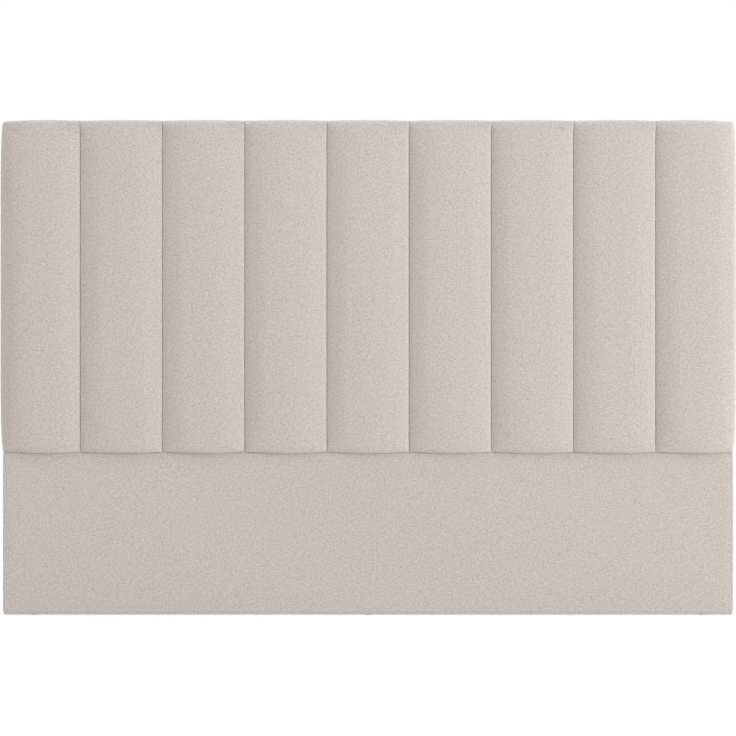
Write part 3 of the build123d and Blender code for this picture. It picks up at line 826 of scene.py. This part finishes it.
def put_in_place(grid, number):
    """Takes a channel's grid to its place in the row. The first one mirrors the last."""
    if number == 1:
        flip_over(grid)
    elif number < CHANNEL_COUNT:
        bmesh.ops.translate(grid, vec=((number - MIDDLE_CHANNEL) * PITCH, 0, 0), verts=grid.verts)


# How far the weave is shifted from one channel's cloth to the next, and on the plain panel
WEAVE_SHIFT = 0.37
PANEL_SHIFT = 0.11


class HEADBOARD_OT_channel_covers(bpy.types.Operator):
    """Sew the covers of the channels, stuffed by a cloth simulation"""
    bl_idname = "headboard.channel_covers"
    bl_label = "Channel covers"

    def execute(self, context):
        form = context.scene.headboard_channels
        cloth = context.scene.headboard_cloth
        weave = material_once("cover_weave", cover_weave, cloth)
        for number, outer, grid, unit, points in each_channel(form):
            index = grid_index(unit, CHANNEL_COUNTS)
            move(grid, points)
            lay_weave(grid, points, index, CHANNEL_COUNTS, WEAVE_SHIFT * number)

            def keep(axis, end, place, middle):
                if axis == 0 and not (outer and end):
                    near_back = place[1] > LAYERS - 1 and middle.z > TOP_Z - cloth.cover_return
                    return place[1] < TUCKED_LAYERS or place[2] > ROWS - STRAP_ROWS or near_back
                if axis == 1 and end:
                    beside = outer and middle.x > HALF_WIDTH - cloth.cover_return
                    return middle.z > TOP_Z - cloth.cover_return or beside
                if axis == 2 and not end:
                    return place[1] < TUCKED_LAYERS or (outer and place[0] > COLUMNS - TUCKED_COLUMNS)
                return True

            drop_faces(grid, index, CHANNEL_COUNTS, keep)
            put_in_place(grid, number)
            name = f"channel_cloth_{number}"
            piece = finished(name, grid, weave, f"channel_cover_{number}")
            soften(piece)
            thicken(piece, cloth.cover)
        return {"FINISHED"}


# What counts as at the lining, the least slope of the layers before it, and what is merged into one corner
NEAR_BEHIND = 0.01 * MM
LAYER_SLOPE = 0.05 * MM
MERGED = 0.02 * MM


def inside_cover(unit, points, form, cloth, outer):
    """The shape of a channel's filling: its cover's, less the cloth and the ease, back to the lining."""
    skin = cloth.cover + cloth.ease
    x, y, z = points.T
    if outer:
        side = HALF_WIDTH + form.side_bulge
        x = np.interp(x, (LAST_SEAM, OUTER_PEAK, side), (LAST_SEAM + skin, OUTER_PEAK, side - skin))
    else:
        x = x * (HALF_CHANNEL - skin) / HALF_CHANNEL
    low, high = LEDGE_Z - form.sag, TOP_Z - form.top_drop
    z = np.interp(z, (low, high), (low + skin, high - skin))
    behind = LINING_LOW.y - cloth.ease
    y = np.minimum(y + skin, behind)
    depth = (unit[:, 1] + 1) / 2
    y = np.where(y >= behind - NEAR_BEHIND, behind, y)
    y = np.where(depth < 1, np.minimum(y, behind - LAYER_SLOPE * (1 - depth)), behind)
    z = np.where((y > CROWN_Y + form.crown - skin) & (z < LEDGE_Z + skin), LEDGE_Z + skin, z)
    return np.column_stack([x, y, z])


class HEADBOARD_OT_channel_fillings(bpy.types.Operator):
    """Shape the foam fillings inside the channels"""
    bl_idname = "headboard.channel_fillings"
    bl_label = "Channel fillings"

    def execute(self, context):
        form = context.scene.headboard_channels
        cloth = context.scene.headboard_cloth
        foam = material_once("foam", foam_finish, cloth)
        for number, outer, grid, unit, points in each_channel(form):
            move(grid, inside_cover(unit, points, form, cloth, outer))
            put_in_place(grid, number)
            bmesh.ops.dissolve_degenerate(grid, dist=MERGED, edges=grid.edges)
            piece = finished(f"channel_filling_{number}", grid, foam, f"channel_pad_{number}")
        return {"FINISHED"}


# Counts of faces of the plain panel's grid, the rows that each rounded edge takes, the round at its back, and
# how far ahead of the panel's edges the cloth is free
PANEL_COLUMNS = 150
PANEL_LAYERS = 12
PANEL_ROWS = 40
PANEL_COUNTS = (PANEL_COLUMNS, PANEL_LAYERS, PANEL_ROWS)
ROUND_ROWS = 4
PANEL_BACK_ROUND = 2 * MM
FREE_AHEAD = 0.2 * MM


def edged(steps, count, low, high, near, far):
    """Places along a grid line, with the rows of a rounded edge bunched inside each end."""
    near_angle = (1 - turned(0, ROUND_ROWS, steps)) * math.pi / 4
    far_angle = turned(count - ROUND_ROWS, count, steps) * math.pi / 4
    middle = turned(ROUND_ROWS, count - ROUND_ROWS, steps)
    return (low + near * (1 - np.tan(near_angle)) + middle * (high - far - low - near)
            + far * np.tan(far_angle))


def rounded(points, low, high, radii):
    """Rounds the edges of a box. Radii are those of the low and the high end of each axis."""
    near = np.array([low[axis] + radii[axis][0] for axis in range(3)])
    far = np.array([high[axis] - radii[axis][1] for axis in range(3)])
    core = np.clip(points, near, far)
    out = points - core
    reach = np.where(out < 0, [pair[0] for pair in radii], [pair[1] for pair in radii])
    share = out / np.maximum(reach, TINY)
    length = np.maximum(np.linalg.norm(share, axis=1, keepdims=True), 1)
    return core + np.where(length > 1, share / length, share) * reach


def panel_points(unit, counts, low, high, radii, crown):
    """A slightly crowned box with rounded edges."""
    steps = (unit + 1) / 2 * np.array(counts)
    places = [edged(steps[:, axis], counts[axis], low[axis], high[axis], *radii[axis]) for axis in range(3)]
    points = rounded(np.column_stack(places), low, high, radii)
    level = (2 * points[:, 2] - low[2] - high[2]) / (high[2] - low[2])
    ahead = (high[1] - points[:, 1]) / (high[1] - low[1])
    points[:, 1] -= crown * (1 - level ** 2) * np.clip(2 * ahead - 1, 0, 1)
    return points


def settled_panel(form):
    """The stuffed shape of the plain panel."""
    seam_y = LOWER_LOW.y + form.crown
    low = (-HALF_WIDTH, seam_y, UNDER_Z)
    high = (HALF_WIDTH, BACK_Y, LEDGE_Z - LEDGE_GAP)
    edge = form.edge_radius
    radii = ((edge, edge), (edge, PANEL_BACK_ROUND), (form.foot_height, form.nip_radius))
    grid, unit = grid_box(*PANEL_COUNTS)
    points = panel_points(unit, PANEL_COUNTS, low, high, radii, form.crown - form.swell / 2)
    move(grid, points)
    free = (points[:, 1] < seam_y - FREE_AHEAD) & (unit[:, 1] < 0)
    points = crowned(swollen("panel_in_work", grid, points, free, form.swell), seam_y, form.crown)
    grid.free()
    return points


def panel_grid(form):
    """A fresh grid of the plain panel, with its corners' places in the grid and its stuffed shape."""
    if "panel" not in SETTLED:
        SETTLED["panel"] = settled_panel(form)
    grid, unit = grid_box(*PANEL_COUNTS)
    return grid, grid_index(unit, PANEL_COUNTS), SETTLED["panel"]


class HEADBOARD_OT_lower_cover(bpy.types.Operator):
    """Stretch the cover of the plain panel under the channels"""
    bl_idname = "headboard.lower_cover"
    bl_label = "Lower cover"

    def execute(self, context):
        form = context.scene.headboard_panel
        cloth = context.scene.headboard_cloth
        grid, index, points = panel_grid(form)
        move(grid, points)
        lay_weave(grid, points, index, PANEL_COUNTS, PANEL_SHIFT)

        def keep(axis, end, place, middle):
            if axis == 1 and end:
                inner = HALF_WIDTH - cloth.cover_return
                return abs(middle.x) > inner or middle.z < UNDER_Z + cloth.cover_return
            if axis == 2 and end:
                at_side = min(place[0], PANEL_COLUMNS - place[0]) < ROUND_ROWS
                return place[1] < ROUND_ROWS or at_side
            return True

        drop_faces(grid, index, PANEL_COUNTS, keep)
        weave = material_once("cover_weave", cover_weave, cloth)
        piece = finished("lower_cloth", grid, weave, "lower_cover")
        soften(piece)
        thicken(piece, cloth.cover)
        return {"FINISHED"}


class HEADBOARD_OT_lower_filling(bpy.types.Operator):
    """Shape the foam behind the plain panel, which laps over the base board"""
    bl_idname = "headboard.lower_filling"
    bl_label = "Lower filling"

    def execute(self, context):
        form = context.scene.headboard_panel
        cloth = context.scene.headboard_cloth
        skin = cloth.cover + cloth.ease
        grid, index, points = panel_grid(form)
        x, y, z = points.T
        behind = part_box("lower_pad")[1].y - SHY
        round_end = LOWER_LOW.y + form.crown + form.edge_radius + skin
        layer = index[:, 1]
        deeper = round_end + (behind - round_end) * (layer - ROUND_ROWS) / (PANEL_LAYERS - ROUND_ROWS)
        y = np.where(layer <= ROUND_ROWS, y + skin, deeper)
        x = x * (HALF_WIDTH - skin) / HALF_WIDTH
        top = LEDGE_Z - LEDGE_GAP
        z = np.interp(z, (UNDER_Z, top), (UNDER_Z + skin, top - skin))
        z = np.where(y > BOARD_LOW.y - SHY, np.maximum(z, BOARD_HIGH.z + SHY), z)
        x = np.where(y > LINING_LOW.y, np.clip(x, -FOAM_HIGH.x, FOAM_HIGH.x), x)
        move(grid, np.column_stack([x, y, z]))
        foam = material_once("foam", foam_finish, cloth)
        piece = finished("lower_filling", grid, foam, "lower_pad")
        return {"FINISHED"}


# Counts of faces of the foam sheet, of the wadding's top and side strips, and of the two thin cloths
FOAM_COUNTS = (120, 10, 56)
TOP_COUNTS = (140, 12, 10)
SIDE_COUNTS = (10, 14, 120)
LINING_COUNTS = (120, 54)
DUST_COUNTS = (96, 64)

# A slab's edges are rounded by at most its thickness over this, and its faces have waves of these lengths
LEAST_CORE = 2.2
FOAM_ROUND = 2.5 * MM
SLAB_WAVES = 4
SLAB_LENGTHS = (0.08, 0.4)


def soft_block(low, high, radius, counts, unevenness, seed):
    """A slab of foam or wadding with soft edges and a slightly uneven face."""
    grid, unit = grid_box(*counts)
    radii = tuple((min(radius, (top - bottom) / LEAST_CORE),) * 2 for bottom, top in zip(low, high))
    points = panel_points(unit, counts, low, high, radii, 0)
    chance = random.Random(seed)
    centre = (np.array(low) + np.array(high)) / 2
    wave = sum(np.sin(FULL_TURN * (points[:, 0] / chance.uniform(*SLAB_LENGTHS)
                                   + points[:, 2] / chance.uniform(*SLAB_LENGTHS)) + chance.uniform(*STARTS))
               for _ in range(SLAB_WAVES)) / SLAB_WAVES
    thin = int(np.argmin(np.array(high) - np.array(low)))
    inward = np.sign(centre[thin] - points[:, thin])
    points[:, thin] += inward * unevenness * (1 + wave) / 2
    move(grid, points)
    return grid


class HEADBOARD_OT_base_foam(bpy.types.Operator):
    """Lay the flat foam behind the channels"""
    bl_idname = "headboard.base_foam"
    bl_label = "Base foam"

    def execute(self, context):
        foam = material_once("foam", foam_finish, context.scene.headboard_cloth)
        shy = Vector((SHY, SHY, SHY))
        grid = soft_block(FOAM_LOW + shy, FOAM_HIGH - shy, FOAM_ROUND, FOAM_COUNTS,
                          unevenness=0.4 * MM, seed=3)
        piece = finished("foam_sheet", grid, foam, "base_foam")
        return {"FINISHED"}


# The wadding's round edges, its gap under the top, and how the cloth squeezes it: by how much at the ledge,
# over what height and in full up to where, and how steeply it falls away at the top corner
WADDING_ROUND = 2 * MM
WADDING_GAP = 0.3 * MM
LEDGE_SQUEEZE = 4.2 * MM
SQUEEZE_REACH = 10 * MM
SQUEEZE_FULL = 1.4
CORNER_FALL = 0.7


def side_strip(side, form, skin, crest, seed):
    """The wadding of one side, built at +X. It bulges with the side, and the cloth squeezes its ends."""
    low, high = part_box(f"{side}_side_wadding")
    inner = FOAM_HIGH.x + SHY
    outer = HALF_WIDTH - skin
    start = Vector((inner, low.y + SHY, low.z + SHY))
    stop = Vector((outer, high.y - SHY, min(high.z, crest) - WADDING_GAP))
    grid = soft_block(start, stop, WADDING_ROUND, SIDE_COUNTS, unevenness=0.2 * MM, seed=seed)
    for vert in grid.verts:
        out = (vert.co.x - inner) / (outer - inner)
        vert.co.x += float(side_bulge(vert.co.z, form)) * out
        squeeze = SQUEEZE_FULL - abs(vert.co.z - LEDGE_Z) / SQUEEZE_REACH
        vert.co.x -= LEDGE_SQUEEZE * min(max(squeeze, 0), 1) * out
        past_corner = vert.co.z - crest + form.corner
        if past_corner > 0:
            vert.co.x = min(vert.co.x, outer - CORNER_FALL * past_corner)
    return grid


class HEADBOARD_OT_edge_wadding(bpy.types.Operator):
    """Lay the wadding over the top rail and over both sides"""
    bl_idname = "headboard.edge_wadding"
    bl_label = "Edge wadding"

    def execute(self, context):
        cloth = context.scene.headboard_cloth
        form = context.scene.headboard_channels
        wadding = material_once("wadding", wadding_finish, cloth)
        skin = cloth.cover + cloth.ease
        crest = TOP_Z - form.top_drop - form.dip - skin
        low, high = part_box("top_wadding")
        high.z = min(high.z, crest)
        shy = Vector((SHY, SHY, SHY))
        top = soft_block(low + shy, high - shy, WADDING_ROUND, TOP_COUNTS, unevenness=0.3 * MM, seed=5)
        right = side_strip("right", form, skin, crest, seed=8)
        left = side_strip("left", form, skin, crest, seed=6)
        flip_over(left)
        for name, grid, solid in (("top", top, "top_wadding"), ("right", right, "right_side_wadding"),
                                  ("left", left, "left_side_wadding")):
            piece = finished(f"{name}_wadding_strip", grid, wadding, solid)
        return {"FINISHED"}


def sheet_grid(columns, rows, low, high):
    """A flat sheet of squares in width and height, facing the back."""
    grid = bmesh.new()
    bmesh.ops.create_grid(grid, x_segments=columns, y_segments=rows, size=1)
    for vert in grid.verts:
        across, up, _ = vert.co
        vert.co = (low.x + (high.x - low.x) * (across + 1) / 2, 0, low.z + (high.z - low.z) * (up + 1) / 2)
    bmesh.ops.recalc_face_normals(grid, faces=grid.faces)
    grid.normal_update()
    if next(iter(grid.faces)).normal.y < 0:
        bmesh.ops.reverse_faces(grid, faces=grid.faces)
    return grid


def cut_lines(grid, axis, places):
    """Cuts the sheet along lines of equal width or height."""
    normal = [0, 0, 0]
    normal[axis] = 1
    for place in places:
        point = [0, 0, 0]
        point[axis] = place
        bmesh.ops.bisect_plane(grid, geom=grid.verts[:] + grid.edges[:] + grid.faces[:], dist=0.01 * MM,
                               plane_co=point, plane_no=normal)


# Half of how far the stitches pull the lining forward at a seam
STITCH_PULL = 0.04 * MM


class HEADBOARD_OT_channel_lining(bpy.types.Operator):
    """Stretch the lining that the channels are sewn to"""
    bl_idname = "headboard.channel_lining"
    bl_label = "Channel lining"

    def execute(self, context):
        cloth = context.scene.headboard_cloth
        base = tuple(cloth.lining_colour)
        lining = material_once("lining_cloth", bonded_cloth, "lining_cloth", base, 2.2 * MM, 0.08)
        thickness = LINING_HIGH.y - LINING_LOW.y
        grid = sheet_grid(*LINING_COUNTS, LINING_LOW, LINING_HIGH)
        for vert in grid.verts:
            seam = math.cos(FULL_TURN * (vert.co.x / PITCH + 0.5))
            vert.co.y = LINING_HIGH.y - STITCH_PULL * (1 + seam)
        piece = finished("channel_lining_sheet", grid, lining, "channel_lining")
        soften(piece)
        thicken(piece, thickness - SHY)
        return {"FINISHED"}


# The dust cloth's margin round a hanger plate, its holes, and the flanges of the inserts behind them
WINDOW_MARGIN = 1 * MM
HOLE_RADIUS = 5 * MM
FLANGE_RADIUS = 8 * MM

# How far the dust cloth hangs in between the timbers, how much that varies, over what width it starts, and
# the folds that vary it, by how many half waves they make in a metre across and up
SLACK = 1.4 * MM
SLACK_RIPPLE = 0.5 * MM
SLACK_EASE = 60 * MM
FOLD_COUNT = 7
FOLDS_ACROSS = (5, 14)
FOLDS_UP = (-9, 9)


def bay(place, edges):
    """1 in the open between two timbers, falling to 0 over them."""
    depth = 0.0
    for start, end in edges:
        depth = max(depth, min(max(min(place - start, end - place) / SLACK_EASE, 0), 1))
    return eased(depth)


def bays(names, axis):
    """The open stretches between timbers that stand in a row along an axis."""
    boxes = [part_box(name) for name in names]
    return [(first[1][axis], second[0][axis]) for first, second in zip(boxes, boxes[1:])]


def plate_windows():
    """The left, right, bottom and top of each window round a hanger plate."""
    boxes = [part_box(name) for name in ("left_hanger_plate", "right_hanger_plate")]
    return [(low.x - WINDOW_MARGIN, high.x + WINDOW_MARGIN, low.z - WINDOW_MARGIN, high.z + WINDOW_MARGIN)
            for low, high in boxes]


def insert_holes():
    """Width and height of each threaded insert's axis, a flange's radius in from each corner of their box."""
    low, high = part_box("threaded_inserts")
    return [(x, z) for x in (low.x + FLANGE_RADIUS, high.x - FLANGE_RADIUS)
            for z in (low.z + FLANGE_RADIUS, high.z - FLANGE_RADIUS)]


def cut_openings(grid, windows, holes):
    """Cuts the windows and the round holes out of the sheet."""
    for left, right, bottom, top in windows:
        cut_lines(grid, 0, (left, right))
        cut_lines(grid, 2, (bottom, top))
    steps = (-HOLE_RADIUS, 0, HOLE_RADIUS)
    cut_lines(grid, 0, sorted({round(x + step, 6) for x, _ in holes for step in steps}))
    cut_lines(grid, 2, sorted({round(z + step, 6) for _, z in holes for step in steps}))
    away = []
    for face in grid.faces:
        across, _, up = face.calc_center_median()
        in_window = any(left < across < right and bottom < up < top for left, right, bottom, top in windows)
        in_hole = any(max(abs(across - x), abs(up - z)) < HOLE_RADIUS for x, z in holes)
        if in_window or in_hole:
            away.append(face)
    bmesh.ops.delete(grid, geom=away, context="FACES")
    for vert in grid.verts:
        for x, z in holes:
            arm = Vector((vert.co.x - x, 0, vert.co.z - z))
            if max(abs(arm.x), abs(arm.z)) < HOLE_RADIUS + SHY and arm.length > 0:
                arm.normalize()
                vert.co.x = x + arm.x * HOLE_RADIUS
                vert.co.z = z + arm.z * HOLE_RADIUS


class HEADBOARD_OT_dust_cloth(bpy.types.Operator):
    """Staple the dust cloth over the back, with its windows and bolt holes"""
    bl_idname = "headboard.dust_cloth"
    bl_label = "Dust cloth"

    def execute(self, context):
        base = tuple(context.scene.headboard_cloth.dust_cloth_colour)
        bonded = material_once("dust_cloth", bonded_cloth, "dust_cloth", base, 1.9 * MM, 0.22)
        grid = sheet_grid(*DUST_COUNTS, CLOTH_LOW, CLOTH_HIGH)
        cut_openings(grid, plate_windows(), insert_holes())
        across = bays(("left_stile", "left_upright", "right_upright", "right_stile"), 0)
        upward = bays(("bottom_rail", "middle_rail", "top_rail"), 2)
        chance = random.Random(11)
        folds = [(chance.uniform(*FOLDS_ACROSS), chance.uniform(*FOLDS_UP), chance.uniform(*STARTS))
                 for _ in range(FOLD_COUNT)]
        for vert in grid.verts:
            x, z = vert.co.x, vert.co.z
            ripple = sum(math.sin(math.pi * (x * a + z * b) + start) for a, b, start in folds) / FOLD_COUNT
            vert.co.y = CLOTH_HIGH.y - bay(x, across) * bay(z, upward) * (SLACK + SLACK_RIPPLE * ripple)
        piece = finished("dust_cloth_sheet", grid, bonded, "dust_cloth")
        soften(piece)
        thicken(piece, CLOTH_HIGH.y - CLOTH_LOW.y)
        return {"FINISHED"}


# How the grain of level and of upright timber is stretched: least along the wood
LEVEL_GRAIN = (2.2, 26, 26)
UPRIGHT_GRAIN = (26, 26, 2.2)


class HEADBOARD_OT_timber(bpy.types.Operator):
    """Finish the pine frame and the plywood boards"""
    bl_idname = "headboard.timber"
    bl_label = "Timber and boards"

    def execute(self, context):
        level = material_once("pine_level", pine_finish, "pine_level", LEVEL_GRAIN)
        upright = material_once("pine_upright", pine_finish, "pine_upright", UPRIGHT_GRAIN)
        dress(level, "top_rail", "middle_rail", "bottom_rail", "corner_blocks")
        dress(upright, "left_stile", "right_stile", "left_upright", "right_upright")
        front = material_once("front_plywood", plywood_finish, "front_plywood", 1)
        base = material_once("base_plywood", plywood_finish, "base_plywood", 2)
        dress(front, "upper_board", "lower_board")
        dress(base, "base_board")
        return {"FINISHED"}


# Each metal's colour, its roughness, the stretch of its rubbing, and the pieces made of it
METALS = {
    "screw_steel": ((0.66, 0.53, 0.27), 0.36, (900, 900, 900),
                    ("frame_screws", "lap_screws", "board_screws", "base_board_screws")),
    "zinc_plate": ((0.62, 0.63, 0.65), 0.4, (90, 90, 1400),
                   ("left_hanger_plate", "right_hanger_plate", "threaded_inserts", "hanger_screws")),
    "staple_wire": ((0.60, 0.60, 0.59), 0.34, (1500, 300, 300),
                    ("cover_staples", "dust_cloth_staples", "glide_nails")),
}


class HEADBOARD_OT_metalwork(bpy.types.Operator):
    """Finish the screws, plates, inserts, nails and staples"""
    bl_idname = "headboard.metalwork"
    bl_label = "Metalwork"

    def execute(self, context):
        for name, (base, roughness, streak, pieces) in METALS.items():
            dress(material_once(name, metal_finish, name, base, roughness, streak), *pieces)
        return {"FINISHED"}


class HEADBOARD_OT_glides(bpy.types.Operator):
    """Finish the nailed glides"""
    bl_idname = "headboard.glides"
    bl_label = "Glides"

    def execute(self, context):
        dress(material_once("glide_nylon", nylon_finish), "glides")
        return {"FINISHED"}


def aim(thing, target):
    """Turns a lamp or a camera to look at a place."""
    away = thing.location - Vector(target)
    thing.rotation_euler = away.to_track_quat("Z", "Y").to_euler()


# Each lamp's place, the place that it looks at, its width and its height. Then white as a colour, half the
# floor's width, the width of the camera's sensor, which is in millimetres, and the farthest that it sees.
LAMPS = {
    "key": ((6.0, -3.5, 0.62), (0.2, 0, 0.60), 1.0, 1.5),
    "front": ((0, -6.0, 1.0), (0, 0, 0.7), 2.0, 1.5),
    "back": ((0, 1.9, 2.9), (0, 0, 0.9), 3.4, 1.0),
}
WHITE = (1, 1, 1, 1)
FLOOR_HALF = 12
SENSOR_WIDTH = 36
FARTHEST_SEEN = 100


def lamp(name, place, target, width, height, power):
    """A soft rectangular lamp."""
    light = bpy.data.lights.new(name, "AREA")
    light.shape = "RECTANGLE"
    light.size = width
    light.size_y = height
    light.energy = power
    lit = bpy.data.objects.new(name, light)
    lit.location = place
    bpy.context.scene.collection.objects.link(lit)
    aim(lit, target)


def seen_by_eye(tree):
    """1 for rays from the camera and for those that a mirror or a glass passes on."""
    path = add_node(tree, "ShaderNodeLightPath").outputs
    total = path["Is Camera Ray"]
    for name in ("Is Glossy Ray", "Is Transmission Ray"):
        total = add_node(tree, "ShaderNodeMath", {0: total, 1: path[name]}, operation="MAXIMUM").outputs[0]
    return total


def shader_mix(tree, factor, first, second):
    """A mix of two nodes' shaders."""
    inputs = {0: factor, 1: first.outputs[0], 2: second.outputs[0]}
    return add_node(tree, "ShaderNodeMixShader", inputs)


def white_sky(strength, overhead):
    """A soft sky, dimmer overhead, that lights from all round and looks white to the camera."""
    world = bpy.data.worlds.new("studio")
    bpy.context.scene.world = world
    world.use_nodes = True
    tree = world.node_tree
    tree.nodes.clear()
    place = add_node(tree, "ShaderNodeTexCoord").outputs["Generated"]
    up = add_node(tree, "ShaderNodeSeparateXYZ", {0: place}).outputs["Z"]
    levels = {"Value": up, "To Min": strength, "To Max": strength * overhead}
    level = add_node(tree, "ShaderNodeMapRange", levels).outputs[0]
    soft = add_node(tree, "ShaderNodeBackground", {"Color": WHITE, "Strength": level})
    white = add_node(tree, "ShaderNodeBackground", {"Color": WHITE, "Strength": 1})
    seen = shader_mix(tree, seen_by_eye(tree), soft, white)
    add_node(tree, "ShaderNodeOutputWorld", {"Surface": seen.outputs[0]})


def floor_paint(level, glow):
    """A matt paint that glows for the camera alone and is clear from below."""
    material, tree = new_material("floor_paint")
    tree.nodes.clear()
    matt = add_node(tree, "ShaderNodeBsdfDiffuse", {"Color": (level, level, level, 1)})
    bright = add_node(tree, "ShaderNodeEmission", {"Strength": glow})
    both = add_node(tree, "ShaderNodeAddShader", {0: matt.outputs[0], 1: bright.outputs[0]})
    seen = shader_mix(tree, seen_by_eye(tree), matt, both)
    clear = add_node(tree, "ShaderNodeBsdfTransparent")
    below = add_node(tree, "ShaderNodeNewGeometry").outputs["Backfacing"]
    paint = shader_mix(tree, below, seen, clear)
    add_node(tree, "ShaderNodeOutputMaterial", {"Surface": paint.outputs[0]})
    return material


def pale_floor(level, glow):
    """A plain pale floor that keeps the object's shadow."""
    grid = bmesh.new()
    bmesh.ops.create_grid(grid, x_segments=1, y_segments=1, size=FLOOR_HALF)
    mesh = bpy.data.meshes.new("floor")
    grid.to_mesh(mesh)
    grid.free()
    mesh.materials.append(floor_paint(level, glow))
    floor = bpy.data.objects.new("floor", mesh)
    bpy.context.scene.collection.objects.link(floor)
    floor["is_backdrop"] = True


class HEADBOARD_OT_stage(bpy.types.Operator):
    """Set up the floor, the soft light and the camera"""
    bl_idname = "headboard.stage"
    bl_label = "Stage"

    def execute(self, context):
        stage = context.scene.headboard_stage
        pale_floor(stage.floor_level, stage.floor_glow)
        white_sky(stage.sky, stage.overhead)
        for name, setup in LAMPS.items():
            lamp(name, *setup, getattr(stage, f"{name}_power"))
        lens = bpy.data.cameras.new("camera")
        lens.sensor_width = SENSOR_WIDTH
        lens.lens = SENSOR_WIDTH * stage.camera_distance / stage.frame_width
        lens.clip_end = FARTHEST_SEEN
        camera = bpy.data.objects.new("camera", lens)
        camera.location = (stage.camera_x, LOWER_LOW.y - stage.camera_distance, stage.camera_z)
        camera.rotation_euler = (QUARTER_TURN, 0, 0)
        context.scene.collection.objects.link(camera)
        context.scene.camera = camera
        context.scene.view_settings.view_transform = "Standard"
        return {"FINISHED"}


OPERATORS = (
    HEADBOARD_OT_stage,
    HEADBOARD_OT_channel_covers,
    HEADBOARD_OT_channel_fillings,
    HEADBOARD_OT_lower_cover,
    HEADBOARD_OT_lower_filling,
    HEADBOARD_OT_base_foam,
    HEADBOARD_OT_edge_wadding,
    HEADBOARD_OT_channel_lining,
    HEADBOARD_OT_dust_cloth,
    HEADBOARD_OT_timber,
    HEADBOARD_OT_metalwork,
    HEADBOARD_OT_glides,
)

SETTINGS = {
    "headboard_channels": ChannelSettings,
    "headboard_panel": PanelSettings,
    "headboard_cloth": ClothSettings,
    "headboard_stage": StageSettings,
}


class HEADBOARD_PT_panel(bpy.types.Panel):
    """The headboard's pieces and settings"""
    bl_idname = "HEADBOARD_PT_panel"
    bl_label = "Headboard"
    bl_space_type = "VIEW_3D"
    bl_region_type = "UI"
    bl_category = "Headboard"

    def draw(self, context):
        for operator in OPERATORS:
            self.layout.operator(operator.bl_idname)
        for name, group in SETTINGS.items():
            settings = getattr(context.scene, name)
            box = self.layout.box()
            for entry in group.__annotations__:
                box.prop(settings, entry)


def register():
    for group in SETTINGS.values():
        bpy.utils.register_class(group)
    for name, group in SETTINGS.items():
        setattr(bpy.types.Scene, name, PointerProperty(type=group))
    for operator in OPERATORS:
        bpy.utils.register_class(operator)
    bpy.utils.register_class(HEADBOARD_PT_panel)


def unregister():
    bpy.utils.unregister_class(HEADBOARD_PT_panel)
    for operator in reversed(OPERATORS):
        bpy.utils.unregister_class(operator)
    for name in SETTINGS:
        delattr(bpy.types.Scene, name)
    for group in SETTINGS.values():
        bpy.utils.unregister_class(group)


def plain(bounds):
    """A box as plain lists of numbers."""
    return [[float(value) for value in corner] for corner in bounds]


def main():
    register()
    for operator in OPERATORS:
        area, name = operator.bl_idname.split(".")
        getattr(getattr(bpy.ops, area), name)()
    {"cad": plain(CAD_BOUNDS), "visual": plain(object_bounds())}


if __name__ == "__main__":
    main()
